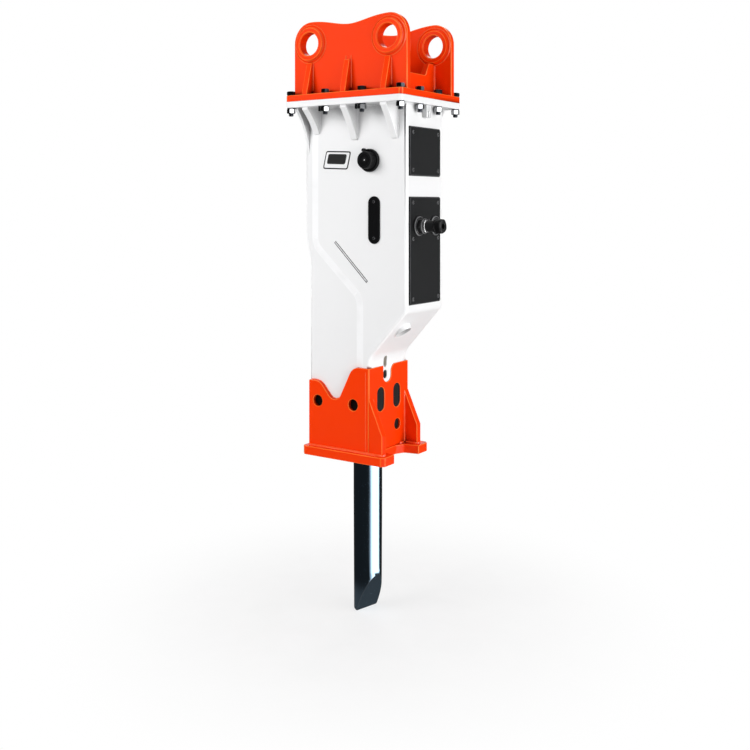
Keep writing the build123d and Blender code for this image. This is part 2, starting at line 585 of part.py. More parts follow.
def port_adapter():
    """Inlet adapter: threaded end, flange, hexagon and neck, bored through."""
    face = FRONT_X + COVER_T
    body = rod_x(24.0, VALVE_FRONT - 28, face, -PORT_Y, PORT_Z)
    flange = rod_x(46.0, face, face + 11, -PORT_Y, PORT_Z)
    body += fillet(flange.edges().filter_by(GeomType.CIRCLE).sort_by(Axis.X)[-1:], 4.0)
    body += Pos(face + 11, -PORT_Y, PORT_Z) * Rot(0, 90, 0) * hex_bar(64.0, 28.0)
    body += rod_x(27.0, face + 39, 444.0, -PORT_Y, PORT_Z)
    return body - rod_x(13.0, VALVE_FRONT - 30, 446.0, -PORT_Y, PORT_Z)


def port_cap():
    """Dust cap on the inlet adapter, with a socket in its end."""
    cap = rod_x(33.0, 428.0, 470.0, -PORT_Y, PORT_Z)
    cap = fillet(cap.edges().filter_by(GeomType.CIRCLE), 5.0)
    cap -= rod_x(27.05, 420.0, 445.0, -PORT_Y, PORT_Z)
    return cap - rod_x(13.0, 454.0, 471.0, -PORT_Y, PORT_Z)


def port_plug():
    """Blanking plug of the return port."""
    face = FRONT_X + COVER_T
    body = rod_x(22.0, VALVE_FRONT - 28, face, PORT_Y, PORT_Z)
    flange = rod_x(46.0, face, face + 11, PORT_Y, PORT_Z)
    body += fillet(flange.edges().filter_by(GeomType.CIRCLE).sort_by(Axis.X)[-1:], 4.0)
    return body + Pos(face + 11, PORT_Y, PORT_Z) * Rot(0, 90, 0) * hex_bar(50.0, 22.0)


def build_covers_and_ports():
    """Black covers, screws, plug and hydraulic ports."""
    lower = cover(LOWER_COVER)
    for y in (-PORT_Y, PORT_Y):
        lower -= rod_x(PORT_HOLE_R, FRONT_X - 1, FRONT_X + COVER_T + 1, y, PORT_Z)
    publish("upper_cover", cover(UPPER_COVER))
    publish("lower_cover", lower)
    publish("cover_screws", *cover_screws())
    publish("side_cover", side_cover())
    side_screw = Rot(90, 0, 0) * button_screw(3.9, 7.0, 4.0, 22.0)
    publish("side_cover_screws",
            *[Pos(SLOT_X, -PANEL_OUT - 5, z) * side_screw for z in side_screw_heights()])
    publish("rubber_plugs", charging_plug(), key_plug(-KEY_Y), key_plug(KEY_Y))
    publish("port_adapter", port_adapter())
    publish("port_cap", port_cap())
    publish("port_plug", port_plug())


# ---------------------------------------------------------------- power cell
def tie_places():
    """Through bolts at the power cell's four corners."""
    return [(x, y) for x in (-TIE_X, TIE_X) for y in (-TIE_Y, TIE_Y)]


def tie_holes(z0, z1):
    """Cutters for the through bolts."""
    return [rod_z(TIE_R + 0.5, z0, z1, x, y) for x, y in tie_places()]


def back_head():
    """Back head with its gas chamber and a boss for the charging valve."""
    head = block(-CELL_X, CELL_X + 22, -CELL_Y, CELL_Y, CYL_TOP, CELL_TOP)
    head = fillet(head.edges().filter_by(Axis.Z), 18.0)
    head -= rod_z(70.0, CYL_TOP - 1, CELL_TOP - 32)
    for hole in tie_holes(CYL_TOP - 1, CELL_TOP + 1):
        head -= hole
    return head - rod_y(9.0, -CELL_Y - 1, -CELL_Y + 25, CELL_X + 3, PLUG_Z)


def charging_valve():
    """Gas charging valve on the back head's side, behind the rubber plug."""
    stem = rod_y(8.9, -CELL_Y, -CELL_Y + 24, CELL_X + 3, PLUG_Z)
    body = Pos(CELL_X + 3, -CELL_Y, PLUG_Z) * Rot(90, 0, 0) * hex_bar(24.0, 8.0)
    return stem + body


def cylinder_body():
    """Cylinder with its bores, seal grooves and the locating spigot."""
    body = block(-CELL_X, CELL_X, -CELL_Y, CELL_Y, CYL_LOW, CYL_TOP)
    body = fillet(body.edges().filter_by(Axis.Z), 18.0)
    body += rod_z(UPPER_BUSH_R - 0.1, CYL_LOW - 35, CYL_LOW + 5)
    body -= rod_z(PISTON_LOW_R + RUN, CYL_LOW - 60, CYL_TOP + 1)
    body -= rod_z(PISTON_LOW_R + 4, CYL_LOW - 60, CYL_LOW - 10)
    body -= rod_z(PISTON_R + RUN, -900.0, CYL_TOP + 1)
    body -= rod_z(85.0, -440.0, CYL_TOP + 1)
    for z in piston_seal_heights():
        body -= rod_z(PISTON_LOW_R + 8, z - 5, z + 5)
    for hole in tie_holes(CYL_LOW - 1, CYL_TOP + 1):
        body -= hole
    return body


def piston_seal_heights():
    """Seal grooves below the piston's lands."""
    return -1035.0, -1005.0, -975.0


def gas_seal_heights():
    """Seal grooves in the seal carrier."""
    return -415.0, -388.0, -361.0


def seal_carrier():
    """Sleeve between the cylinder and the gas chamber."""
    sleeve = ring_z(84.95, PISTON_TOP_R + RUN, -440.0, CYL_TOP)
    for z in gas_seal_heights():
        sleeve -= rod_z(PISTON_TOP_R + 7, z - 4, z + 4)
    return sleeve


def piston():
    """Piston: striking end, two lands with a waist, and the gas end."""
    body = rod_z(PISTON_LOW_R, PISTON_LOW, LAND_LOW) + rod_z(PISTON_TOP_R, LAND_TOP, PISTON_TOP)
    body += rod_z(PISTON_R, LAND_LOW, LAND_TOP)
    body -= ring_z(PISTON_R + 5, PISTON_LOW_R + 4, -770.0, -670.0)
    ends = body.edges().filter_by(GeomType.CIRCLE).group_by(Axis.Z)
    return chamfer(ends[0] + ends[-1], 5.0)


def front_head():
    """Front head: tool bore, bush seats, key slots and cross holes."""
    head = block(HEAD_REAR, HEAD_FRONT, -HEAD_HALF, HEAD_HALF, HEAD_LOW, CYL_LOW - 100)
    head += block(-CELL_X, CELL_X, -CELL_Y, CELL_Y, CYL_LOW - 100, CYL_LOW)
    head -= rod_z(TOOL_R + 3, HEAD_LOW - 1, CYL_LOW + 1)
    head -= rod_z(BUSH_R, HEAD_LOW - 1, -1505.0)
    head -= rod_z(UPPER_BUSH_R, -1330.0, CYL_LOW + 1)
    for y in (-KEY_Y, KEY_Y):
        head -= on_yz(obround((y, KEY_Z), KEY_W / 2 + 0.3, KEY_H + 0.6), HEAD_REAR + 30, HEAD_FRONT + 1)
    for sign in (-1, 1):
        head -= rod_y(9.0, sign * 60, sign * (HEAD_HALF + 1), SIDE_HOLES[1], SIDE_HOLE_Z)
    head -= rod_x(11.0, -60, HEAD_FRONT + 1, BUSH_PIN_Y + 8, BUSH_PIN_Z)
    for hole in tie_holes(CYL_LOW - 85, CYL_LOW + 1):
        head -= hole
    return head - front_guide(0.2)


def front_guide(clearance=0.0):
    """Polyurethane pad between the front head and the front wall, behind the tongue's slot."""
    x1 = LOWER_FRONT_X - WALL_T
    half = GUIDE_HALF + clearance
    return block(x1 - GUIDE_T - clearance, x1, -half, half, GUIDE_LOW - clearance, GUIDE_TOP + clearance)


def tool_key(y):
    """Flat key with round edges that holds the tool, bored for its stop pin."""
    key = on_yz(obround((y, KEY_Z), KEY_W / 2, KEY_H), HEAD_REAR + 30, HEAD_FRONT - 2)
    side = math.copysign(1, y)
    return key - rod_y(9.0, side * 60, side * 130, SIDE_HOLES[1], SIDE_HOLE_Z)


def stop_pin(side):
    """Round pin that locks a key."""
    return rod_y(8.9, side * 62, side * (HEAD_HALF - 2), SIDE_HOLES[1], SIDE_HOLE_Z)


def tool():
    """Chisel: shank with flats for the keys, shoulder, and a point ground on one side."""
    shaft = rod_z(TOOL_R, TOOL_SHOULDER, -1900.0)
    shaft += rod_z(TOOL_NECK_R, TOOL_TOP, TOOL_SHOULDER)
    shaft += Pos(0, 0, (TOOL_TIP - 1900.0) / 2) * Cone(TOOL_TIP_R, TOOL_R, -1900.0 - TOOL_TIP)
    flat_top = KEY_Z + KEY_H / 2 + 0.3
    flat_y = KEY_Y - KEY_W / 2 - 0.4
    for side in (-1, 1):
        y0, y1 = sorted((side * flat_y, side * 100))
        shaft -= block(-100, 100, y0, y1, flat_top - KEY_FLAT_LEN, flat_top)
    crown = chamfer(shaft.edges().filter_by(GeomType.CIRCLE).group_by(Axis.Z)[-1], 6.0)
    crown = fillet(crown.edges().filter_by(GeomType.CIRCLE).group_by(Axis.Z)[0], 8.0)
    below = Pos(0, 0, TOOL_TIP + FACET_RISE) * Rot(0, 0, FACET_TURN) * Rot(0, FACET_ANGLE - 90, 0)
    return crown - below * Pos(0, 0, -BIG / 2) * Box(BIG, BIG, BIG)


def build_power_cell():
    """The percussion mechanism inside the housing."""
    publish("back_head", back_head())
    publish("charging_valve", charging_valve())
    publish("cylinder", cylinder_body() - port_pockets())
    publish("seal_carrier", seal_carrier())
    publish("gas_seals", *[ring_z(PISTON_TOP_R + 6.9, PISTON_TOP_R + RUN, z - 3.9, z + 3.9)
                           for z in gas_seal_heights()])
    publish("piston_seals", *[ring_z(PISTON_LOW_R + 7.9, PISTON_LOW_R + RUN, z - 4.9, z + 4.9)
                              for z in piston_seal_heights()])
    publish("piston", piston())
    publish("front_head", front_head())
    publish("thrust_ring", ring_z(UPPER_BUSH_R - 0.05, TOOL_NECK_R + 2, TOOL_SHOULDER + TOOL_TRAVEL + 0.4,
                                  CYL_LOW - 35))
    publish("upper_bush", ring_z(UPPER_BUSH_R - 0.05, TOOL_R + RUN, -1330.0,
                                 TOOL_SHOULDER + TOOL_TRAVEL + 0.4))
    bush = ring_z(BUSH_R - 0.05, TOOL_R + RUN, -1695.0, -1505.0)
    publish("lower_bush", bush - rod_x(11.0, -100, 100, BUSH_PIN_Y + 8, BUSH_PIN_Z))
    publish("bush_pin", rod_x(10.9, -60, HEAD_FRONT - 4, BUSH_PIN_Y + 8, BUSH_PIN_Z))
    publish("tool_keys", tool_key(-KEY_Y), tool_key(KEY_Y))
    publish("stop_pins", stop_pin(-1), stop_pin(1))
    publish("chisel", tool())


def port_pockets():
    """Oil passages from the cylinder bore to the valve block."""
    heights = (-500.0, -660.0)
    return Compound(children=[rod_x(12.0, 60, CELL_X + 1, 0, z) for z in heights])


def build_tie_bolts():
    """Through bolts and flanged nuts that clamp the power cell."""
    bolts, nuts = [], []
    for x, y in tie_places():
        bolts.append(rod_z(TIE_R, CYL_LOW - 84, CELL_TOP + 50, x, y))
        nut = Pos(x, y, CELL_TOP) * hex_bar(56.0, 40.0) + rod_z(31.0, CELL_TOP, CELL_TOP + 6, x, y)
        nuts.append(nut - rod_z(TIE_R, CELL_TOP - 1, CELL_TOP + 41, x, y))
    publish("tie_bolts", *bolts)
    publish("tie_nuts", *nuts)


# ---------------------------------------------------------------- valve and accumulator
def valve_block():
    """Control valve body with the spool's bore, oil passages and both ports."""
    body = block(CELL_X, VALVE_FRONT, -VALVE_HALF, VALVE_HALF, VALVE_LOW, VALVE_TOP)
    body = fillet(body.edges().filter_by(Axis.X), 10.0)
    body -= rod_z(SPOOL_R + RUN, VALVE_LOW - 1, VALVE_TOP + 1, SPOOL_X)
    for z in (-500.0, -660.0):
        body -= rod_x(12.0, CELL_X - 1, SPOOL_X, 0, z)
    body -= rod_x(24.0, VALVE_FRONT - 28, VALVE_FRONT + 1, -PORT_Y, PORT_Z)
    body -= rod_x(22.0, VALVE_FRONT - 28, VALVE_FRONT + 1, PORT_Y, PORT_Z)
    for y in (-PORT_Y, PORT_Y):
        body -= rod_x(12.0, SPOOL_X - 20, VALVE_FRONT - 27, y, PORT_Z)
        body -= rod_y(12.0, *sorted((0, y)), SPOOL_X, PORT_Z)
    for x, y in cap_screw_places():
        for z in (VALVE_LOW, VALVE_TOP):
            body -= rod_z(6.0, z - 26, z + 26, x, y)
    return body


def cap_screw_places():
    """Screws round the spool's end caps."""
    return [(SPOOL_X + dx, dy) for dx in (-36.0, 36.0) for dy in (-36.0, 36.0)]


def valve_cap(z0, z1):
    """End cap over the spool's bore."""
    plate = block(SPOOL_X - 52, SPOOL_X + 52, -52, 52, z0, z1)
    plate = fillet(plate.edges().filter_by(Axis.Z), 10.0)
    for x, y in cap_screw_places():
        plate -= rod_z(6.5, z0 - 1, z1 + 1, x, y)
    return plate


def spool():
    """Valve spool with two grooves, free to move up."""
    body = rod_z(SPOOL_R, VALVE_LOW + 1, VALVE_TOP - SPOOL_TRAVEL - 1, SPOOL_X)
    for z in (-520.0, -640.0):
        cut = rod_z(SPOOL_R + 5, z - 22, z + 22, SPOOL_X) - rod_z(SPOOL_R - 8, z - 23, z + 23, SPOOL_X)
        body -= cut
    return body


def cap_screws():
    """Socket screws of the spool's end caps."""
    screws = []
    for x, y in cap_screw_places():
        screw = Pos(0, 0, 6) * Cylinder(9.0, 12) + Pos(0, 0, -20) * Cylinder(5.9, 40)
        up = Pos(x, y, VALVE_TOP + 16) * screw
        screws += [up, mirror(up, about=Plane((0, 0, (VALVE_TOP + VALVE_LOW) / 2)))]
    return screws


def accumulator():
    """Diaphragm accumulator: body, rubber diaphragm, cover and its ring of bolts."""
    rim = ACC_SPLIT
    body = rod_x(ACC_R, CELL_X, rim, 0, ACC_Z) - rod_x(62.0, CELL_X + 18, rim + 1, 0, ACC_Z)
    body -= rod_x(10.0, CELL_X - 1, CELL_X + 20, 0, ACC_Z)
    cover_part = rod_x(ACC_R, rim + 4, ACC_FRONT, 0, ACC_Z) - rod_x(62.0, rim + 3, ACC_FRONT - 16, 0, ACC_Z)
    cover_part = fillet(cover_part.edges().filter_by(GeomType.CIRCLE).sort_by(Axis.X)[-1:], 8.0)
    sheet = rod_x(ACC_R, rim, rim + 4, 0, ACC_Z)
    cup = rod_x(56.0, rim - 24, rim + 2, 0, ACC_Z) - rod_x(51.0, rim - 19, rim + 5, 0, ACC_Z)
    sheet = sheet - rod_x(51.0, rim - 1, rim + 5, 0, ACC_Z) + cup
    bolts = []
    for i in range(8):
        a = math.radians(22.5 + 45 * i)
        y, z = 77.0 * math.cos(a), ACC_Z + 77.0 * math.sin(a)
        hole = rod_x(5.5, CELL_X + 20, ACC_FRONT + 1, y, z)
        body, cover_part, sheet = body - hole, cover_part - hole, sheet - hole
        bolts.append(rod_x(5.4, CELL_X + 24, ACC_FRONT, y, z) + rod_x(8.0, ACC_FRONT, ACC_FRONT + 9, y, z))
    return body, cover_part, sheet, bolts


def build_valve_and_accumulator():
    """Hydraulic control pieces on the cylinder's front."""
    publish("valve_block", valve_block())
    publish("valve_spool", spool())
    publish("valve_caps", valve_cap(VALVE_TOP, VALVE_TOP + 16), valve_cap(VALVE_LOW - 16, VALVE_LOW))
    publish("valve_cap_screws", *cap_screws())
    body, cover_part, sheet, bolts = accumulator()
    publish("accumulator_body", body)
    publish("accumulator_cover", cover_part)
    publish("accumulator_diaphragm", sheet)
    publish("accumulator_bolts", *bolts)


# ---------------------------------------------------------------- cushions and guides
def build_cushions():
    """Polyurethane cushions and guides between the power cell and the box."""
    publish("upper_cushion", block(-66, 66, -CELL_Y + 2, CELL_Y - 2, CELL_TOP, 0))
    publish("lower_cushion", block(HEAD_REAR, HEAD_FRONT, -HEAD_HALF, HEAD_HALF, BASE_TOP, HEAD_LOW)
            - rod_z(BUSH_R + 4, BASE_TOP - 1, HEAD_LOW + 1))
    pads = [block(-120, 20, HEAD_HALF, WALL_IN, z0, z1) for z0, z1 in ((-1640, -1490), (-1400, -1250))]
    publish("side_guides", *[s for p in pads for s in both_sides(p)])
    rear_x = LOWER_REAR_X + REAR_INSET + WALL_T
    publish("end_guides", block(rear_x, HEAD_REAR, -100, 100, -1640, -1370), front_guide())


os.makedirs("parts", exist_ok=True)
build_top_bracket()
build_flange_fasteners()
build_housing()
build_lower_bracket()
build_covers_and_ports()
build_power_cell()
build_tie_bolts()
build_valve_and_accumulator()
build_cushions()
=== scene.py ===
"""Looks of a hydraulic breaker hammer: softened plates, weld beads, fasteners, seals, finishes and studio.

Everything is in metres in the row frame. The classes give their sizes in
millimetres about the datum, which is the working tool's axis at the bolted joint
between the top bracket and the housing. +X points at the service covers, +Y runs
along the pin bores and +Z is up.
"""
import json
import logging
import math
from collections.abc import Sequence
from dataclasses import dataclass
from enum import Enum
from functools import cache
from itertools import product

import bmesh
import bpy
from mathutils import Matrix, Vector


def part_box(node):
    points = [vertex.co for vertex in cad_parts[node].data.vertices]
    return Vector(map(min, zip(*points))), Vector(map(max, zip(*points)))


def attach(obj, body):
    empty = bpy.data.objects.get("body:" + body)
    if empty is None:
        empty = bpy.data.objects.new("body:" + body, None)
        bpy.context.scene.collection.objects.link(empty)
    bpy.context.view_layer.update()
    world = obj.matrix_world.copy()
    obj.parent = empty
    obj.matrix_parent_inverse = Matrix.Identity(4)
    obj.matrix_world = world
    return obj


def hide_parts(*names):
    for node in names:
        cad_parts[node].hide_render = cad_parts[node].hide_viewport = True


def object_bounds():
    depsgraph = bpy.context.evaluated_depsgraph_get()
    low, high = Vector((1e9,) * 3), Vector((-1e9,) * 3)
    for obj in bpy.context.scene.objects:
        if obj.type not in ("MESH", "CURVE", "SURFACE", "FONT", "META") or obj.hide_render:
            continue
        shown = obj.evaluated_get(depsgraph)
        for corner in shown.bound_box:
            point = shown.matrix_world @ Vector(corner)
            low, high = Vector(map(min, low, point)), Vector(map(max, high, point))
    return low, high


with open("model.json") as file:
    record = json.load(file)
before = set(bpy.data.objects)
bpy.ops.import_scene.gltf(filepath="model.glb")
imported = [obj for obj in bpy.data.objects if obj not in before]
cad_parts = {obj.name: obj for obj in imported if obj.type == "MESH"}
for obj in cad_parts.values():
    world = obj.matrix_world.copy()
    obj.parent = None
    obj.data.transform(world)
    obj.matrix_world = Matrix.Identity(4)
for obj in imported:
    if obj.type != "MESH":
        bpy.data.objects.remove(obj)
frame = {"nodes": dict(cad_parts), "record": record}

Node = bpy.types.Node
Socket = bpy.types.NodeSocket
Tree = bpy.types.ShaderNodeTree
Pair = tuple[float, float]
Point = tuple[float, float, float]

log = logging.getLogger("breaker")
MM = 0.001
CAD_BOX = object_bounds()
MIDDLE = (Vector(CAD_BOX[0]) + Vector(CAD_BOX[1])) / 2
X_AXIS, Y_AXIS, Z_AXIS = Vector((1, 0, 0)), Vector((0, 1, 0)), Vector((0, 0, 1))
SIDES = (-1, 1)
# Face layer that marks where the painted edge highlight goes.
EDGE_HIGHLIGHT_LAYER = "edge"


class Body(Enum):
    """Bodies of the frame that new pieces ride on."""

    HOUSING = "housing"
    TOOL = "tool"


class Slot(Enum):
    """Material slots of the record."""

    ORANGE = "orange_paint"
    WHITE = "white_paint"
    BLACK = "black_paint"
    RUBBER = "black_rubber"
    FASTENER = "dark_fastener"
    NUT = "bright_nut"
    TOOL = "tool_steel"
    MACHINED = "machined_steel"
    CAST = "cast_steel"
    CUSHION = "polyurethane"


# ---------------------------------------------------------------- datum
@dataclass(frozen=True)
class Datum:
    """The drawing's zero in the row frame: the tool's axis at the bolted joint."""

    x: float
    z: float

    @classmethod
    def from_frame(cls) -> "Datum":
        """Read the axis from the tool's mount and the joint from the housing's flange."""
        mounts = {mount["name"]: mount for mount in frame["record"]["mounts"]}
        return cls(x=mounts["tool_point"]["pos_m"][0], z=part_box("housing_flange")[1][2])

    def at(self, x: float, y: float, z: float) -> Vector:
        """Place in the row frame of a point given in millimetres about the datum."""
        return Vector((self.x + x * MM, y * MM, self.z + z * MM))

    def box(self, node: str) -> tuple[Vector, Vector]:
        """Box of a node, in millimetres about the datum.

        Args:
            node: The node's name.

        Returns:
            Its lowest and its highest corner.
        """
        low, high = (Vector(corner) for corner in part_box(node))
        shift = Vector((self.x, 0.0, self.z))
        return (low - shift) / MM, (high - shift) / MM


DATUM = Datum.from_frame()


# ---------------------------------------------------------------- shader helpers
class Graph:
    """One node tree, with short calls that add nodes and join them."""

    def __init__(self, tree: bpy.types.NodeTree) -> None:
        """Keep the tree that nodes are added to."""
        self.tree = tree

    def node(self, kind: str, inputs: dict | None = None, **settings: object) -> Node:
        """Add a node.

        Args:
            kind: Blender's name of the node type, without its ShaderNode prefix.
            inputs: Socket names with a value to set or a socket to join.
            settings: Properties of the node itself.

        Returns:
            The new node.
        """
        made = self.tree.nodes.new("ShaderNode" + kind)
        for key, value in settings.items():
            setattr(made, key, value)
        for key, value in (inputs or {}).items():
            self.feed(made.inputs[key], value)
        return made

    def feed(self, socket: Socket, value: object) -> None:
        """Join a socket to another, or set its own value.

        Args:
            socket: The socket to feed.
            value: The socket that it is joined to, or its value.
        """
        if isinstance(value, Socket):
            self.tree.links.new(value, socket)
        else:
            socket.default_value = value

    def math(self, operation: str, first: object, second: object = 0.0, clamp: bool = False) -> Socket:
        """Result of a Math node."""
        return self.node("Math", {0: first, 1: second}, operation=operation, use_clamp=clamp).outputs[0]

    def times(self, first: object, second: object, clamp: bool = False) -> Socket:
        """Product of two values."""
        return self.math("MULTIPLY", first, second, clamp)

    def vector(self, operation: str, first: object, second: object = (0.0, 0.0, 0.0)) -> Node:
        """Vector Math node."""
        return self.node("VectorMath", {0: first, 1: second}, operation=operation)

    def ramp(self, value: Socket, low: float, high: float,
             to_low: float = 0.0, to_high: float = 1.0) -> Socket:
        """Value smoothly carried from one range to another."""
        ends = {"Value": value, "From Min": low, "From Max": high, "To Min": to_low, "To Max": to_high}
        return self.node("MapRange", ends, interpolation_type="SMOOTHSTEP").outputs["Result"]

    def mix(self, factor: object, first: object, second: object, blend: str = "MIX") -> Socket:
        """Colour mixed from two others.

        Args:
            factor: How much of the second colour there is.
            first: The first colour.
            second: The second colour.
            blend: How they are mixed.

        Returns:
            The colour's socket.
        """
        made = self.node("Mix", data_type="RGBA", blend_type=blend)
        for socket, value in ((0, factor), (6, first), (7, second)):
            self.feed(made.inputs[socket], value)
        return made.outputs[2]

    def noise(self, scale: object, detail: float, roughness: float = 0.5,
              vector: Socket | None = None) -> Socket:
        """Noise on Object coordinates, or on a vector of its own.

        Args:
            scale: Its scale.
            detail: Its detail.
            roughness: Its roughness.
            vector: The coordinates, where they aren't the object's.

        Returns:
            The noise's socket.
        """
        where = vector or self.node("TexCoord").outputs["Object"]
        given = {"Vector": where, "Scale": scale, "Detail": detail, "Roughness": roughness}
        return self.node("TexNoise", given).outputs["Fac"]

    def effect(self, group: Tree, inputs: dict) -> Socket:
        """Output of one of the shared node groups."""
        return self.node("Group", inputs, node_tree=group).outputs[0]


class Effects:
    """Node groups shared by the finishes, each built once."""

    @staticmethod
    def _group(name: str, inputs: dict[str, float],
               output: str) -> tuple[Graph, bpy.types.NodeOutputs, Socket]:
        """Start a group.

        Args:
            name: Name of the group.
            inputs: Names and defaults of its number sockets.
            output: Name of its one number output.

        Returns:
            Its graph, the sockets that give its inputs, and the socket that takes its output.
        """
        tree = bpy.data.node_groups.new(name, "ShaderNodeTree")
        for key, value in inputs.items():
            made = tree.interface.new_socket(name=key, in_out="INPUT", socket_type="NodeSocketFloat")
            made.default_value = value
        tree.interface.new_socket(name=output, in_out="OUTPUT", socket_type="NodeSocketFloat")
        given, put = tree.nodes.new("NodeGroupInput"), tree.nodes.new("NodeGroupOutput")
        return Graph(tree), given.outputs, put.inputs[output]

    @staticmethod
    @cache
    def painted_edge_highlight() -> Tree:
        """Mask of the painted highlight on rounded edges and beads, broken up a little by noise.

        Returns:
            The group.
        """
        graph, given, put = Effects._group("painted_edge_highlight", {"Amount": 1.0, "Breakup": 9.0}, "Mask")
        edge = graph.node("Attribute", attribute_name=EDGE_HIGHLIGHT_LAYER, attribute_type="GEOMETRY").outputs["Fac"]
        patchy = graph.ramp(graph.noise(given["Breakup"], 4.0), 0.30, 0.62, 0.45, 1.0)
        graph.feed(put, graph.times(graph.times(edge, patchy), given["Amount"], clamp=True))
        return graph.tree

    @staticmethod
    @cache
    def tone() -> Tree:
        """Slow drift of brightness over a sprayed or cast surface, about one half.

        Returns:
            The group.
        """
        graph, given, put = Effects._group("tone", {"Scale": 3.0, "Amount": 0.1}, "Value")
        slow = graph.math("SUBTRACT", graph.noise(given["Scale"], 2.0), 0.5)
        fine = graph.math("SUBTRACT", graph.noise(graph.times(given["Scale"], 11.0), 3.0), 0.5)
        both = graph.math("ADD", slow, graph.times(fine, 0.35))
        graph.feed(put, graph.math("ADD", graph.times(both, given["Amount"]), 0.5))
        return graph.tree

    @staticmethod
    @cache
    def grain() -> Tree:
        """Height of a fine even texture: orange peel, mould stipple or cast skin.

        Returns:
            The group.
        """
        graph, given, put = Effects._group("grain", {"Scale": 300.0, "Pits": 0.3}, "Height")
        where = graph.node("TexCoord").outputs["Object"]
        cells = graph.node("TexVoronoi", {"Vector": where, "Scale": given["Scale"]}, feature="SMOOTH_F1")
        pits = graph.times(graph.ramp(cells.outputs["Distance"], 0.1, 0.6), given["Pits"])
        graph.feed(put, graph.math("ADD", graph.noise(given["Scale"], 2.0), pits))
        return graph.tree

    @staticmethod
    @cache
    def lay() -> Tree:
        """Height of the fine lines that grinding or turning leaves round the vertical axis.

        Returns:
            The group.
        """
        graph, given, put = Effects._group("lay", {"Scale": 40.0, "Stretch": 30.0}, "Height")
        apart = graph.node("SeparateXYZ", {"Vector": graph.node("TexCoord").outputs["Object"]}).outputs
        along = graph.times(apart["Z"], given["Stretch"])
        spread = graph.node("CombineXYZ", {"X": apart["X"], "Y": apart["Y"], "Z": along}).outputs[0]
        graph.feed(put, graph.noise(given["Scale"], 4.0, 0.6, spread))
        return graph.tree


# ---------------------------------------------------------------- finishes
@dataclass(frozen=True)
class Finish:
    """A surface: its colour, gloss and texture, and the slot of the record that it belongs to.

    Colours are linear. light is the colour of the painted highlight on edges and beads, and edge how much of
    it shows. shade is how much painted shade darkens the deepest corners, and open_from the openness of a
    place free of it.
    A turned surface has lines round the vertical axis instead of a grain.
    """

    name: str
    slot: Slot
    colour: Point
    light: Point
    metallic: float = 0.0
    roughness: float = 0.42
    edge: float = 0.3
    drift: float = 0.3
    drift_scale: float = 3.0
    grain_scale: float = 900.0
    grain_height: float = 0.01
    pits: float = 0.3
    coat: float = 0.0
    coat_roughness: float = 0.08
    specular: float = 0.5
    shade: float = 0.0
    open_from: float = 0.72
    turned: bool = False

    DRIFT_GAINS = (0.72, 1.28)
    ROUGH_GAINS = (0.85, 1.15)
    CORNER_REACH = 0.16
    CORNER_LOW = 0.2
    BUMP_STRENGTH = 0.35
    BUMP_DEPTH = 10 * MM

    @cache
    def build(self) -> bpy.types.Material:
        """Make the material, or return the one already made.

        Returns:
            The material.
        """
        material = bpy.data.materials.new(self.name)
        material.use_nodes = True
        material.diffuse_color = (*self.colour, 1.0)
        graph = Graph(material.node_tree)
        tone = graph.effect(Effects.tone(), {"Scale": self.drift_scale, "Amount": self.drift})
        smooth, rough = (gain * self.roughness for gain in self.ROUGH_GAINS)
        surface = {"Base Color": self._colour(graph, tone), "Normal": self._normal(graph),
                   "Roughness": graph.ramp(tone, 0.3, 0.7, smooth, rough),
                   "Metallic": self.metallic, "Specular IOR Level": self.specular,
                   "Coat Weight": self.coat, "Coat Roughness": self.coat_roughness}
        shader = material.node_tree.nodes["Principled BSDF"]
        for socket, value in surface.items():
            graph.feed(shader.inputs[socket], value)
        return material

    def _colour(self, graph: Graph, tone: Socket) -> Socket:
        """Base colour with its drift, its painted edge highlights and its painted shade in the deepest
        corners.

        Args:
            graph: The material's graph.
            tone: Drift of brightness about one half.

        Returns:
            The colour's socket.
        """
        dark, bright = ((*(min(1.0, gain * part) for part in self.colour), 1.0) for gain in self.DRIFT_GAINS)
        # Painted highlight: the light colour is laid over the marked edges and beads.
        edge = graph.effect(Effects.painted_edge_highlight(), {"Amount": self.edge})
        base = graph.mix(edge, graph.mix(tone, dark, bright), (*self.light, 1.0))
        if self.shade == 0.0:
            return base
        # Painted shade: ambient occlusion darkens the colour in corners, bores and under overhangs.
        corner = graph.node("AmbientOcclusion", {"Distance": self.CORNER_REACH}, samples=8).outputs["AO"]
        lit = graph.ramp(corner, self.CORNER_LOW, self.open_from, 1.0 - self.shade, 1.0)
        return graph.mix(1.0, base, lit, "MULTIPLY")

    def _normal(self, graph: Graph) -> Socket:
        """Normal from the grain, or from turning lines on a turned piece.

        Args:
            graph: The material's graph.

        Returns:
            The normal's socket.
        """
        if self.turned:
            height = graph.effect(Effects.lay(), {"Scale": self.grain_scale})
        else:
            height = graph.effect(Effects.grain(), {"Scale": self.grain_scale, "Pits": self.pits})
        deep = self.grain_height * self.BUMP_DEPTH
        bump = {"Height": height, "Strength": self.BUMP_STRENGTH, "Distance": deep}
        return graph.node("Bump", bump).outputs["Normal"]


# The second colour of each finish is its painted edge highlight; shade, where set, is painted shade in the
# corners.
ORANGE_ENAMEL = Finish(
    "orange_enamel", Slot.ORANGE, (0.99, 0.040, 0.0004), (1.0, 0.27, 0.045), roughness=0.24, edge=0.6,
    drift=0.08, grain_scale=170.0, grain_height=0.008, specular=0.14, shade=0.9, open_from=0.57)
ORANGE_BEAD = Finish(
    "orange_bead", Slot.ORANGE, (0.93, 0.055, 0.003), (1.0, 0.28, 0.11), roughness=0.24, edge=0.5,
    drift=0.22, drift_scale=30.0, grain_scale=420.0)
WHITE_ENAMEL = Finish(
    "white_enamel", Slot.WHITE, (0.83, 0.83, 0.84), (0.93, 0.93, 0.94), roughness=0.34, edge=0.6,
    drift=0.05, grain_scale=150.0, grain_height=0.008, coat=0.1, specular=0.35, shade=0.42)
POWDER_COAT = Finish(
    "powder_coat", Slot.BLACK, (0.0085, 0.0088, 0.0092), (0.085, 0.087, 0.09), edge=0.8, drift=0.25,
    grain_height=0.012, pits=0.8, specular=0.06)
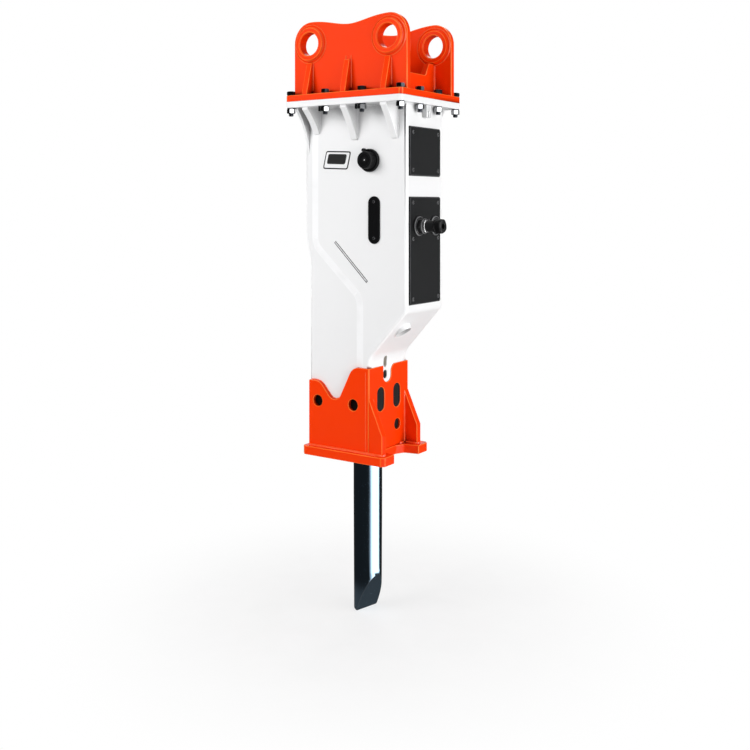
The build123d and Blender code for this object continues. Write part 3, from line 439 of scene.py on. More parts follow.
BLACK_FITTING = Finish(
    "black_fitting", Slot.BLACK, (0.012, 0.0122, 0.0128), (0.22, 0.222, 0.228), roughness=0.32, edge=0.85,
    drift=0.25, grain_height=0.004, specular=0.22)
MOULDED_RUBBER = Finish(
    "moulded_rubber", Slot.RUBBER, (0.005, 0.005, 0.0054), (0.030, 0.030, 0.031), edge=0.6,
    grain_scale=700.0, grain_height=0.03, specular=0.08)
BLACK_OXIDE = Finish(
    "black_oxide", Slot.FASTENER, (0.017, 0.019, 0.023), (0.16, 0.17, 0.19), metallic=0.9, roughness=0.30,
    edge=0.7, drift_scale=40.0, grain_height=0.003)
BLACK_SCREW = Finish(
    "black_screw", Slot.FASTENER, (0.010, 0.0102, 0.0108), (0.09, 0.092, 0.096), roughness=0.36, edge=0.8,
    drift_scale=40.0, grain_height=0.003, specular=0.25)
NUT_STEEL = Finish(
    "nut_steel", Slot.NUT, (0.29, 0.295, 0.305), (0.55, 0.56, 0.58), metallic=1.0, roughness=0.16,
    drift_scale=40.0, grain_scale=700.0, grain_height=0.002)
TOOL_STEEL = Finish(
    "dark_tool_steel", Slot.TOOL, (0.205, 0.30, 0.39), (0.55, 0.58, 0.62), metallic=1.0, roughness=0.16,
    edge=0.45, drift=0.25, drift_scale=6.0, turned=True, grain_scale=24.0, grain_height=0.0015)
GROUND_STEEL = Finish(
    "ground_steel", Slot.MACHINED, (0.46, 0.46, 0.47), (0.8, 0.8, 0.8), metallic=1.0, roughness=0.26,
    drift=0.12, turned=True, grain_scale=40.0, grain_height=0.001)
# Cast skin made darker than its own colour, as painted shade for the front head seen through the holes.
CAST_STEEL = Finish(
    "cast_steel_skin", Slot.CAST, (0.035, 0.035, 0.036), (0.2, 0.2, 0.2), metallic=0.4, roughness=0.55,
    drift_scale=8.0, grain_scale=260.0, grain_height=0.09, pits=0.7)
CUSHION_RUBBER = Finish(
    "cast_polyurethane", Slot.CUSHION, (0.52, 0.37, 0.16), (0.7, 0.55, 0.3), drift=0.2, drift_scale=10.0,
    grain_scale=120.0, grain_height=0.04)
BLACK_STRIPE = Finish(
    "black_stripe", Slot.BLACK, (0.02, 0.02, 0.02), (0.05, 0.05, 0.05), roughness=0.5, edge=0.2,
    drift=0.15, grain_scale=400.0)
ZINC_PLATE = Finish(
    "zinc_plate", Slot.MACHINED, (0.55, 0.555, 0.56), (0.85, 0.85, 0.85), metallic=0.35, roughness=0.4,
    edge=0.5, drift=0.2, drift_scale=20.0, grain_scale=300.0)

FINISH_OF = {Slot.ORANGE: ORANGE_ENAMEL, Slot.WHITE: WHITE_ENAMEL, Slot.BLACK: POWDER_COAT,
             Slot.RUBBER: MOULDED_RUBBER, Slot.FASTENER: BLACK_OXIDE, Slot.NUT: NUT_STEEL,
             Slot.TOOL: TOOL_STEEL, Slot.MACHINED: GROUND_STEEL, Slot.CAST: CAST_STEEL,
             Slot.CUSHION: CUSHION_RUBBER}


# ---------------------------------------------------------------- mesh helpers
class Workpiece:
    """A bmesh in the making, with the shop's usual operations, that ends as one piece."""

    CROWN = 0.96
    CHAMFER = math.radians(30)
    SLOPES = (0.2, 0.97)
    BEAD_SIDES = 8
    BEAD_RIPPLE = (0.93, 1.09)
    BEAD_ENDS = (0.02, 0.72)

    def __init__(self) -> None:
        """Start with an empty mesh and its layer for the painted edge highlight."""
        self.bm = bmesh.new()
        self.edge = self.bm.faces.layers.float.new(EDGE_HIGHLIGHT_LAYER)

    @classmethod
    def turned(cls, profile: Sequence[Pair], steps: int = 40) -> "Workpiece":
        """Solid of revolution about Z.

        Args:
            profile: (radius, height) pairs in millimetres, which start and end on the axis.
            steps: Divisions round the axis.

        Returns:
            The workpiece.
        """
        work = cls()
        corners = [work.bm.verts.new((radius * MM, 0.0, height * MM)) for radius, height in profile]
        run = [work.bm.edges.new(pair) for pair in zip(corners, corners[1:])]
        bmesh.ops.spin(work.bm, geom=corners + run, cent=(0, 0, 0), axis=(0, 0, 1), dvec=(0, 0, 0),
                       angle=2 * math.pi, steps=steps, use_merge=True, use_duplicate=False)
        bmesh.ops.remove_doubles(work.bm, verts=work.bm.verts, dist=1e-6)
        bmesh.ops.dissolve_degenerate(work.bm, edges=work.bm.edges, dist=1e-7)
        return work.mark_rims()

    @classmethod
    def hexagon(cls, flats: float, height: float, both_ends: bool = False) -> "Workpiece":
        """Hexagon on Z = 0 whose corners are turned off in arcs.

        Args:
            flats: Width across flats, in millimetres.
            height: Height, in millimetres.
            both_ends: Whether the lower corners are turned off too.

        Returns:
            The workpiece.
        """
        work = cls()
        apothem = flats / 2 * MM
        crown = cls.CROWN * apothem
        base = bmesh.ops.create_circle(work.bm, cap_ends=True, radius=crown, segments=48)
        rings = [base["verts"]]
        face = base["verts"][0].link_faces[0]
        for _ in range(3 if both_ends else 2):
            grown = bmesh.ops.extrude_face_region(work.bm, geom=[face])["geom"]
            rings.append([item for item in grown if isinstance(item, bmesh.types.BMVert)])
            bmesh.ops.delete(work.bm, geom=[face], context="FACES_ONLY")
            face = next(item for item in grown if isinstance(item, bmesh.types.BMFace))
        full = rings[1:-1] if both_ends else rings[:-1]
        for ring in rings:
            for corner in ring:
                angle = math.atan2(corner.co.y, corner.co.x)
                wide = apothem / math.cos((angle + math.pi / 6) % (math.pi / 3) - math.pi / 6)
                fall = max(0.0, wide - crown) * math.tan(cls.CHAMFER)
                reach = wide if ring in full else crown
                corner.co = Vector((reach * math.cos(angle), reach * math.sin(angle), 0.0))
                if ring is rings[-1]:
                    corner.co.z = height * MM
                elif ring is rings[-2]:
                    corner.co.z = height * MM - fall
                elif both_ends and ring is rings[1]:
                    corner.co.z = fall
        return work

    def mark_rims(self) -> "Workpiece":
        """Mark the faces that slope to Z, such as chamfers, for the painted edge highlight.

        Returns:
            This workpiece.
        """
        least, most = self.SLOPES
        self.bm.normal_update()
        for face in self.bm.faces:
            if least < abs(face.normal.z) < most:
                face[self.edge] = 1.0
        return self

    def placed(self, place: Matrix) -> "Workpiece":
        """Move the whole workpiece."""
        self.bm.transform(place)
        return self

    def add(self, other: "Workpiece", place: Matrix = Matrix.Identity(4)) -> "Workpiece":
        """Put another workpiece into this one and free it.

        Args:
            other: The workpiece to add.
            place: Where it goes.

        Returns:
            This workpiece.
        """
        carrier = bpy.data.meshes.new("carrier")
        other.placed(place).bm.to_mesh(carrier)
        self.bm.from_mesh(carrier)
        bpy.data.meshes.remove(carrier)
        other.bm.free()
        self.edge = self.bm.faces.layers.float[EDGE_HIGHLIGHT_LAYER]
        return self

    def slab(self, low: Vector, high: Vector, round_by: float = 0.0) -> "Workpiece":
        """Block between two corners with rounded edges.

        Args:
            low: Lowest corner.
            high: Highest corner.
            round_by: Radius of its edges, in millimetres.

        Returns:
            This workpiece.
        """
        place = Matrix.Translation((low + high) / 2) @ Matrix.Diagonal((*(high - low), 1.0))
        made = bmesh.ops.create_cube(self.bm, size=1.0, matrix=place)["verts"]
        if round_by > 0.0:
            edges = list({edge for vert in made for edge in vert.link_edges})
            bmesh.ops.bevel(self.bm, geom=made + edges, offset=round_by * MM, segments=2, profile=0.5,
                            affect="EDGES", material=-1)
        return self

    def seam(self, corners: Sequence[Point], across: Vector, leg: float, pitch: float = 8.0) -> None:
        """Weld bead through corners given about the datum.

        Args:
            corners: Points of the weld's root, in millimetres.
            across: A direction square to the whole seam.
            leg: Radius of the bead, in millimetres.
            pitch: Distance between ripples, in millimetres.
        """
        self.bead([DATUM.at(*corner) for corner in corners], across, leg, pitch)

    def ring(self, centre: Vector, axis: Vector, radius: float, leg: float, count: int = 64) -> None:
        """Weld bead round a circle.

        Args:
            centre: Its centre, in the row frame.
            axis: Its axis.
            radius: Its radius, in millimetres.
            leg: Radius of the bead, in millimetres.
            count: How many points the circle has.
        """
        place = facing(axis, centre)
        angles = [2 * math.pi * index / count for index in range(count)]
        path = [place @ Vector((radius * MM * math.cos(a), radius * MM * math.sin(a), 0.0)) for a in angles]
        self.bead(path, axis, leg, closed=True)

    def bead(self, path: Sequence[Vector], across: Vector, leg: float, pitch: float = 8.0,
             closed: bool = False) -> None:
        """Rippled weld bead along a path.

        Args:
            path: Points of the weld's root, in the row frame.
            across: A direction square to the whole path.
            leg: Radius of the bead, in millimetres.
            pitch: Distance between ripples, in millimetres.
            closed: Whether the path runs round to its start.
        """
        line = self._stations(path, pitch * MM / 2, closed)
        spans = len(line) if closed else len(line) - 1
        around = self.BEAD_SIDES
        made = bmesh.ops.create_grid(self.bm, x_segments=spans, y_segments=around, size=0.5)["verts"]
        for vert in made:
            station = round((vert.co.x + 0.5) * spans)
            turn = 2 * math.pi * round((vert.co.y + 0.5) * around) / around
            here = line[station % len(line)]
            before, after = line[(station - 1) % len(line)], line[(station + 1) % len(line)]
            if not closed and station == 0:
                before = here
            if not closed and station == spans:
                after = here
            side = (after - before).normalized().cross(across)
            size = leg * MM * self.BEAD_RIPPLE[station % 2]
            to_end = min(station, spans - station)
            if not closed and to_end < len(self.BEAD_ENDS):
                size *= self.BEAD_ENDS[to_end]
            vert.co = here + size * (math.cos(turn) * across + math.sin(turn) * side)
        bmesh.ops.remove_doubles(self.bm, verts=made, dist=2e-6)
        # Every bead face gets half the painted edge highlight.
        for face in {face for vert in made if vert.is_valid for face in vert.link_faces}:
            face[self.edge] = 0.5

    @staticmethod
    def _stations(path: Sequence[Vector], step: float, closed: bool) -> list[Vector]:
        """Points at an even step along a path, its corners kept.

        Args:
            path: The path's corners.
            step: Distance wanted between points, in metres.
            closed: Whether the path runs round to its start.

        Returns:
            The points.
        """
        ends = list(path) + ([path[0]] if closed else [])
        line = []
        for start, end in zip(ends, ends[1:]):
            count = max(1, round((end - start).length / step))
            line += [start.lerp(end, index / count) for index in range(count)]
        return line if closed else line + [ends[-1]]

    def finish(self, name: str, finish: Finish, replaces: Sequence[str] = (), sharp: float = 35.0,
               body: Body = Body.HOUSING) -> bpy.types.Object:
        """Close the workpiece and make it a piece of the scene.

        Args:
            name: The piece's name.
            finish: Its finish.
            replaces: Nodes that it stands for.
            sharp: Angle past which an edge stays sharp, in degrees.
            body: The body that it rides on.

        Returns:
            The piece's object.
        """
        bmesh.ops.recalc_face_normals(self.bm, faces=self.bm.faces)
        mesh = bpy.data.meshes.new(name)
        self.bm.to_mesh(mesh)
        self.bm.free()
        mesh.shade_smooth()
        mesh.set_sharp_from_angle(angle=math.radians(sharp))
        mesh.materials.append(finish.build())
        piece = bpy.data.objects.new(name, mesh)
        bpy.context.scene.collection.objects.link(piece)
        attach(piece, body.value)
        if replaces:
            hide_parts(*replaces)
        log.info("%s: %d faces", name, len(mesh.polygons))
        return piece


def facing(axis: Vector, foot: Vector, spin: float = 0.0) -> Matrix:
    """Placement that stands Z along an axis.

    Args:
        axis: Direction that Z takes.
        foot: Where the origin goes.
        spin: Turn about the axis, in degrees.

    Returns:
        The placement.
    """
    if axis.z < -0.999:
        turn = Matrix.Rotation(math.pi, 4, "X")
    else:
        turn = Z_AXIS.rotation_difference(axis).to_matrix().to_4x4()
    return Matrix.Translation(foot) @ turn @ Matrix.Rotation(math.radians(spin), 4, "Z")


def on_a_seat(edge: bmesh.types.BMEdge, seats: Sequence[tuple[str, float]]) -> bool:
    """Whether an edge lies on one of the planes that a plate is welded to.

    Args:
        edge: The edge.
        seats: Axis and distance from the datum, in millimetres, of each plane; a y plane is on both sides.

    Returns:
        True where both its ends are within half a millimetre of a plane.
    """
    datum = DATUM.at(0.0, 0.0, 0.0)
    for axis, value in seats:
        places = [getattr(vert.co - datum, axis) / MM for vert in edge.verts]
        if axis == "y":
            places = [abs(place) for place in places]
        if all(abs(place - value) < 0.5 for place in places):
            return True
    return False


def softened(node: str, finish: Finish, width: float, how: str = "painted", angle: float = 38.0,
             seats: Sequence[tuple[str, float]] = (), rounds_about: Vector | None = None,
             body: Body = Body.HOUSING) -> None:
    """Copy of a node whose sharp edges are rounded and marked for the painted edge highlight.

    Args:
        node: The node that the copy stands for.
        finish: Its finish.
        width: Width of the rounding, in millimetres, or 0 to round nothing.
        how: Word after the node's name in the piece's name.
        angle: Angle past which an edge is rounded, in degrees.
        seats: Planes that the plate is welded to, on which no edge is rounded.
        rounds_about: Direction of the plate's thickness, where its edges are already round.
        body: The body that it rides on.
    """
    work = Workpiece()
    source = frame["nodes"][node]
    work.bm.from_mesh(source.data)
    work.bm.transform(source.matrix_world)
    bmesh.ops.remove_doubles(work.bm, verts=work.bm.verts, dist=1e-5)
    bmesh.ops.dissolve_limit(work.bm, angle_limit=math.radians(0.5), use_dissolve_boundaries=False,
                             verts=work.bm.verts, edges=work.bm.edges, delimit=set())
    work.edge = work.bm.faces.layers.float.get(EDGE_HIGHLIGHT_LAYER) or work.bm.faces.layers.float.new(EDGE_HIGHLIGHT_LAYER)
    work.bm.normal_update()
    for face in work.bm.faces:
        face.material_index = 0
        # Faces of edges that are already round get the painted edge highlight.
        if rounds_about and 0.2 < abs(face.normal.dot(rounds_about)) < 0.98:
            face[work.edge] = 1.0
    if width > 0.0:
        limit = math.radians(angle)
        sharp = [edge for edge in work.bm.edges if len(edge.link_faces) == 2
                 and edge.calc_face_angle(0.0) > limit and not on_a_seat(edge, seats)]
        made = bmesh.ops.bevel(work.bm, geom=sharp, offset=width * MM, offset_type="OFFSET", segments=2,
                               profile=0.5, affect="EDGES", clamp_overlap=False, material=-1)
        # The new rounded faces get the painted edge highlight.
        for face in made["faces"]:
            face[work.edge] = 1.0
    low, high = (Vector(corner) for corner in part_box(node))
    for vert in work.bm.verts:
        vert.co = Vector(min(max(value, least), most) for value, least, most in zip(vert.co, low, high))
    piece = work.finish(f"{node}_{how}", finish, (node,), sharp=50.0, body=body)
    weighted = piece.modifiers.new("flat_faces", "WEIGHTED_NORMAL")
    weighted.mode = "FACE_AREA"
    weighted.weight = 80
    weighted.keep_sharp = True


# ---------------------------------------------------------------- sub-assemblies
@dataclass
class TopBracket:
    """Orange bracket with two ears, their bosses, gussets and saddle plates."""

    ear_out: float = 215.0
    ear_in: float = 185.0
    ear_reach: float = 97.0
    plate_half: float = 15.0
    pins: Pair = (-187.0, 263.0)
    pin_z: float = 275.0
    gussets: tuple[Pair, ...] = ((-187.0, 186.0), (38.0, 206.0), (263.0, 182.0))
    gusset_foot: float = 262.0
    saddles: Pair = (-187.0, 253.0)
    saddle_top: float = 188.0
    collar_r: float = 92.0
    collar_high: float = 7.0
    boss_r: float = 80.5
    base_top: float = 30.0
    edge_r: float = 2.8

    def build(self) -> None:
        """Round the plates' edges and lay the welds."""
        foot, outer, inner = ("z", self.base_top), ("y", self.ear_out), ("y", self.ear_in)
        softened("bracket_base_plate", ORANGE_ENAMEL, self.edge_r, seats=(("z", 0.0),))
        for node in ("ear_plate_near", "ear_plate_far"):
            softened(node, ORANGE_ENAMEL, self.edge_r, seats=(foot,), rounds_about=Y_AXIS)
        softened("saddle_plates", ORANGE_ENAMEL, self.edge_r, seats=(foot, inner))
        softened("ear_gussets", ORANGE_ENAMEL, self.edge_r, seats=(foot, outer))
        softened("pin_bosses", ORANGE_ENAMEL, width=1.6, angle=30.0, seats=(outer, inner))
        self._foot_welds()
        self._gusset_welds()
        self._saddle_welds()
        self._boss_welds()

    def _foot_welds(self) -> None:
        """Welds along both sides of each ear's foot."""
        work = Workpiece()
        ends = self.pins[0] - self.ear_reach, self.pins[1] + self.ear_reach
        for side, y in product(SIDES, (self.ear_out, self.ear_in)):
            work.seam([(x, side * y, self.base_top) for x in ends], Y_AXIS, leg=6.0)
        work.finish("ear_foot_welds", ORANGE_BEAD)

    def _gusset_welds(self) -> None:
        """Welds up and along each gusset."""
        work = Workpiece()
        for (middle, top), side, edge in product(self.gussets, SIDES, SIDES):
            x = middle + edge * self.plate_half
            work.seam([(x, side * self.ear_out, z) for z in (self.base_top + 18, top)], Y_AXIS, leg=3.4)
            foot = self.ear_out + 18, self.gusset_foot
            work.seam([(x, side * y, self.base_top) for y in foot], X_AXIS, leg=3.4)
        work.finish("gusset_welds", ORANGE_BEAD)

    def _saddle_welds(self) -> None:
        """Welds round the saddle plates between the ears."""
        work = Workpiece()
        for middle, edge in product(self.saddles, SIDES):
            x = middle + edge * self.plate_half
            work.seam([(x, side * (self.ear_in - 8), self.base_top) for side in SIDES], X_AXIS, leg=5.0)
            for side in SIDES:
                work.seam([(x, side * self.ear_in, z) for z in (40.0, self.saddle_top)], Y_AXIS, leg=5.0)
        work.finish("saddle_welds", ORANGE_BEAD)

    def _boss_welds(self) -> None:
        """Rings of weld at the foot and the top of each boss's collar."""
        work = Workpiece()
        for x, side in product(self.pins, SIDES):
            for y in (self.ear_out + 0.5, self.ear_in - 0.5):
                work.ring(DATUM.at(x, side * y, self.pin_z), Y_AXIS, self.collar_r, leg=3.4, count=72)
            top = self.ear_out + self.collar_high
            work.ring(DATUM.at(x, side * top, self.pin_z), Y_AXIS, self.boss_r, leg=2.4)
        work.finish("boss_welds", ORANGE_BEAD)


@dataclass
class FlangeJoint:
    """Bolted joint: the housing's flange, its bolts, nuts, washers and lock tabs."""

    bolt_xs: tuple[float, ...] = (-280.0, -74.0, 138.0, 349.0)
    bolt_y: float = 249.0
    end_y: float = 83.0
    flats: float = 36.0
    head: float = 16.0
    nut: float = 22.0
    plate: float = 30.0
    washer: float = 4.0
    washer_r: float = 18.5
    shank_r: float = 12.0
    thread_pitch: float = 3.0
    thread_turns: int = 4
    head_step: float = 17.0
    nut_turn: float = 41.0
    nut_sway: float = 7.0

    ROUND_STEPS = 32

    def build(self) -> None:
        """Build the flange and all its fasteners."""
        softened("housing_flange", WHITE_ENAMEL, width=3.0)
        heads, nuts, washers = Workpiece(), Workpiece(), Workpiece()
        stack = self.plate + self.washer
        for index, (x, y) in enumerate(self._places()):
            spin, turn = self.head_step * index, self.nut_turn + self.nut_sway * math.sin(2.0 * index)
            heads.add(self._head(), facing(Z_AXIS, DATUM.at(x, y, stack), spin))
            heads.add(self._thread(), facing(-Z_AXIS, DATUM.at(x, y, -stack - self.nut), spin))
            nut = Workpiece.hexagon(self.flats, self.nut, both_ends=True).mark_rims()
            nuts.add(nut, facing(-Z_AXIS, DATUM.at(x, y, -stack), turn))
            washers.add(self._washer(), facing(Z_AXIS, DATUM.at(x, y, self.plate)))
            washers.add(self._washer(), facing(-Z_AXIS, DATUM.at(x, y, -self.plate)))
        heads.finish("flange_bolts_threaded", BLACK_OXIDE, ("flange_bolts",), sharp=25.0)
        nuts.finish("flange_nuts_turned", NUT_STEEL, ("flange_nuts",), sharp=25.0)
        washers.finish("flange_washers_pressed", BLACK_OXIDE, ("flange_washers",), sharp=30.0)
        self._lock_tabs()

    def _places(self) -> list[Pair]:
        """Places of the twelve bolts.

        Returns:
            Their x and y, in millimetres about the datum.
        """
        ends = self.bolt_xs[0], self.bolt_xs[-1]
        rows = (self.bolt_xs, self.bolt_y), (ends, self.end_y)
        return [(x, side * y) for xs, y in rows for x in xs for side in SIDES]

    def _head(self) -> Workpiece:
        """Bolt head with a dished top.

        Returns:
            The head, standing on Z = 0.
        """
        top, rim = self.head, self.flats * 0.30
        dish = ((0.0, top + 0.05), (rim - 2.5, top + 0.05), (rim, top + 0.9), (rim + 1.6, top + 0.9),
                (rim + 2.4, top - 0.2), (0.0, top - 0.2))
        return Workpiece.hexagon(self.flats, top).add(Workpiece.turned(dish, self.ROUND_STEPS))

    def _thread(self) -> Workpiece:
        """Threaded end that stands out of the nut, with a chamfered tip.

        Returns:
            The thread, which starts a little below Z = 0.
        """
        core, crest, pitch = self.shank_r - 1.7, self.shank_r, self.thread_pitch
        profile = [(0.0, -2.0), (core, -2.0)]
        for turn in range(self.thread_turns):
            base = turn * pitch
            profile += [(core, base), (crest, base + 0.42 * pitch), (crest, base + 0.58 * pitch)]
        tip = self.thread_turns * pitch
        profile += [(core, tip), (core - 1.6, tip + 1.8), (0.0, tip + 1.8)]
        return Workpiece.turned(profile, self.ROUND_STEPS)

    def _washer(self) -> Workpiece:
        """Pressed washer with rounded rims.

        Returns:
            The washer, lying on Z = 0.
        """
        r, t, hole = self.washer_r, self.washer, self.shank_r + 0.6
        return Workpiece.turned(((0.0, 0.0), (r - 0.6, 0.0), (r, 0.8), (r, t - 0.9), (r - 0.9, t),
                                 (hole, t), (hole, t - 0.4), (0.0, t - 0.4)))

    def _lock_tabs(self) -> None:
        """Bent lock tabs beside the middle nuts of each long side."""
        work = Workpiece()
        half, back = 9.0, -34.0
        for side, x in product(SIDES, self.bolt_xs[1:3]):
            y, z = side * self.bolt_y, -self.plate
            for front, drop in ((-16.0, 2.5), (-31.5, 24.0)):
                work.slab(DATUM.at(x + back, y - half, z - drop), DATUM.at(x + front, y + half, z), 0.8)
        work.finish("nut_lock_tabs", BLACK_OXIDE)


@dataclass
class HousingBox:
    """White steel box: walls, flange gussets, their welds and the hose bracket."""

    panel_out: float = 164.0
    wall_out: float = 152.0
    gussets: tuple[Pair, ...] = ((-186.0, 124.0), (38.0, 160.0), (263.0, 160.0))
    gusset_half: float = 17.0
    gusset_reach: float = 98.0
    flange_low: float = -30.0
    front: float = 327.0
    rear: float = -264.0
    corner: float = 16.0
    boss_r: float = 45.0
    boss_up: float = 0.58
    boss_y: float = -63.0
    slant: tuple[Pair, Pair] = ((327.0, -992.0), (120.0, -1222.0))

    def build(self) -> None:
        """Dress the box and lay its welds."""
        seats = (("z", self.flange_low), ("y", self.panel_out), ("y", self.wall_out))
        softened("housing_gussets", WHITE_ENAMEL, width=2.5, seats=seats)
        for node in ("housing_side_near", "housing_side_far"):
            softened(node, WHITE_ENAMEL, width=0.0, rounds_about=Y_AXIS)
        softened("hose_bracket", ZINC_PLATE, width=1.5, how="eased")
        self._gusset_welds()
        self._flange_weld()
        self._boss_weld()

    def _gusset_welds(self) -> None:
        """Welds beside each gusset, along the wall and under the flange."""
        work = Workpiece()
        z, reach = self.flange_low, self.panel_out + self.gusset_reach - 4
        for (middle, drop), side, edge in product(self.gussets, SIDES, SIDES):
            x, wall = middle + edge * self.gusset_half, side * self.panel_out
            work.seam(((x, wall, z - drop + 4), (x, wall, z)), Y_AXIS, leg=4.0)
            work.seam(((x, wall, z), (x, side * reach, z)), X_AXIS, leg=4.0)
        work.finish("housing_gusset_welds", WHITE_ENAMEL)

    def _flange_weld(self) -> None:
        """Weld between the box and its flange."""
        work = Workpiece()
        z, y, front = self.flange_low, self.panel_out, self.front
        run = ((-180.0, y), (front - self.corner, y), (front - 5, y - 5), (front, y - self.corner),
               (front, 0.0))
        for side in SIDES:
            work.seam([(x, side * self.wall_out, z) for x in (self.rear + 2, -178.0)], Y_AXIS, leg=5.0)
            work.seam([(x, side * out, z) for x, out in run], Z_AXIS, leg=5.0)
        work.finish("flange_weld", WHITE_ENAMEL)

    def _boss_weld(self) -> None:
        """Weld round the slanted boss of the front wall."""
        (x1, z1), (x0, z0) = self.slant
        foot = DATUM.at(x0 + self.boss_up * (x1 - x0), self.boss_y, z0 + self.boss_up * (z1 - z0))
        work = Workpiece()
        work.ring(foot, Vector((z1 - z0, 0.0, x0 - x1)).normalized(), self.boss_r, leg=3.0)
        work.finish("slant_boss_weld", WHITE_ENAMEL)


@dataclass
class LowerBracket:
    """Orange wear plates and claws round the front head, with their welds."""

    skirt_out: float = 172.0
    wall_out: float = 152.0
    skirt_front: float = 124.0
    front_in: float = 104.0
    skirt_rear: float = -231.0
    rear_seam: float = -222.0
    base_top: float = -1667.0
    claw_top: float = -1411.0
    claw_x: float = 197.0
    claw_in: float = 137.0
    gap_half: float = 96.0
    edge_top: tuple[Pair, ...] = (
        (-231.0, -1350.0), (-195.0, -1350.0), (-169.6, -1355.6), (-149.0, -1371.4), (-111.0, -1416.7),
        (-97.3, -1427.3), (-80.0, -1431.0), (-56.7, -1425.0), (-42.0, -1408.8), (11.4, -1301.3),
        (33.6, -1277.0), (65.2, -1268.0), (108.0, -1268.0))

    def build(self) -> None:
        """Round the plates' edges and lay the welds."""
        foot, behind, wall = ("z", self.base_top), ("x", self.front_in), ("y", self.wall_out)
        for node in ("skirt_side_near", "skirt_side_far", "skirt_front", "skirt_rear"):
            softened(node, ORANGE_ENAMEL, width=2.6, seats=(foot, behind, wall))
        softened("claws", ORANGE_ENAMEL, width=2.8, seats=(foot, ("x", self.skirt_front)))
        softened("base_plate", ORANGE_ENAMEL, width=3.5)
        self._base_welds()
        self._edge_welds()
        self._claw_welds()

    def _base_welds(self) -> None:
        """Heavy welds between the skirt and the base plate."""
        work = Workpiece()
        z, out, inner = self.base_top, self.skirt_out, self.claw_in
        for side in SIDES:
            whole = [(x, side * out, z) for x in (self.skirt_rear, self.claw_x)]
            work.seam(whole, Y_AXIS, leg=7.5, pitch=9.0)
            work.seam([(x, side * inner, z) for x in (self.skirt_front + 6, self.claw_x)], Y_AXIS, leg=5.5)
            work.seam([(self.claw_x, side * y, z) for y in (out - 4, inner + 4)], X_AXIS, leg=5.5)
        for ends in ((4 - inner, -self.gap_half), (self.gap_half, inner - 4)):
            work.seam([(self.skirt_front, y, z) for y in ends], X_AXIS, leg=5.5)
        work.seam([(self.rear_seam, side * self.wall_out, z) for side in SIDES], X_AXIS, leg=6.0)
        work.finish("base_plate_welds", ORANGE_BEAD)

    def _edge_welds(self) -> None:
        """Welds along the skirt's waved upper edges and down its front corners."""
        work = Workpiece()
        corner = self.edge_top[-1][1] - 12, self.base_top
        for side in SIDES:
            work.seam([(x, side * self.wall_out, z) for x, z in self.edge_top], Y_AXIS, leg=3.0)
            out = side * (self.skirt_out - 0.6)
            work.seam([(self.front_in, out, z) for z in corner], Y_AXIS, leg=1.9, pitch=14.0)
        work.finish("skirt_seams", ORANGE_BEAD)

    def _claw_welds(self) -> None:
        """Welds along the inner side of each claw."""
        work = Workpiece()
        for side in SIDES:
            ends = self.claw_top - 4, self.base_top
            work.seam([(self.skirt_front, side * self.claw_in, z) for z in ends], Y_AXIS, leg=5.0)
        work.finish("claw_welds", ORANGE_BEAD)


@dataclass
class ServiceCovers:
    """Black covers of the narrow face, with gaskets and screws."""

    front: float = 327.0
    thick: float = 8.0
    half: float = 135.5
    middle: float = -6.5
    lip: float = 2.6
    screw_half: float = 112.0
    upper: Pair = (-137.0, -362.0)
    lower: Pair = (-463.0, -959.0)
    screw_zs: tuple[float, ...] = (-162.0, -337.0, -488.0, -934.0, -655.0)

    def build(self) -> None:
        """Build the covers, their gaskets and their screws."""
        for node in ("upper_cover", "lower_cover"):
            softened(node, POWDER_COAT, width=1.2, how="coated", angle=25.0, seats=(("x", self.front),))
        self._edge_shade_gaskets()
        self._screws()

    def _edge_shade_gaskets(self) -> None:
        """Thin dark rubber gaskets round the covers; their dark rim also paints the shade at the covers'
        edges.
        """
        work = Workpiece()
        # Painted shade: the dark rim round each cover.
        reach = self.half + self.lip
        for top, low in (self.upper, self.lower):
            work.slab(DATUM.at(self.front - 0.5, self.middle - reach, low - self.lip),
                      DATUM.at(self.front + 1.6, self.middle + reach, top + self.lip), 0.7)
        work.finish("cover_edge_shade_gaskets", MOULDED_RUBBER)

    def _screws(self) -> None:
        """Socket button screws at the covers' corners and middles."""
        work = Workpiece()
        for z, side in product(self.screw_zs, SIDES):
            spot = DATUM.at(self.front + self.thick, self.middle + side * self.screw_half, z)
            work.add(button_screw(radius=9.0, height=5.2), facing(X_AXIS, spot, 11.0 * side + z))
        work.finish("cover_screws_socketed", BLACK_SCREW, ("cover_screws",), sharp=30.0)


def button_screw(radius: float, height: float) -> Workpiece:
    """Button head screw with a hexagon socket and a washer under it.

    Args:
        radius: Radius of its head, in millimetres.
        height: Height of its head, in millimetres.

    Returns:
        The screw, standing on Z = 0.
    """
    shank = ((0.0, -12.0), (0.45, -12.0), (0.45, 0.0), (1.18, 0.0), (1.18, 1.0), (1.0, 1.2))
    dome = ((0.97, 0.42), (0.86, 0.72), (0.70, 0.92), (0.50, 1.0))
    socket = ((0.48, height - 0.3), (0.44, height * 0.35), (0.0, height * 0.25))
    profile = shank + tuple((out, up * height) for out, up in dome) + socket
    return Workpiece.turned([(out * radius, up) for out, up in profile], steps=24)


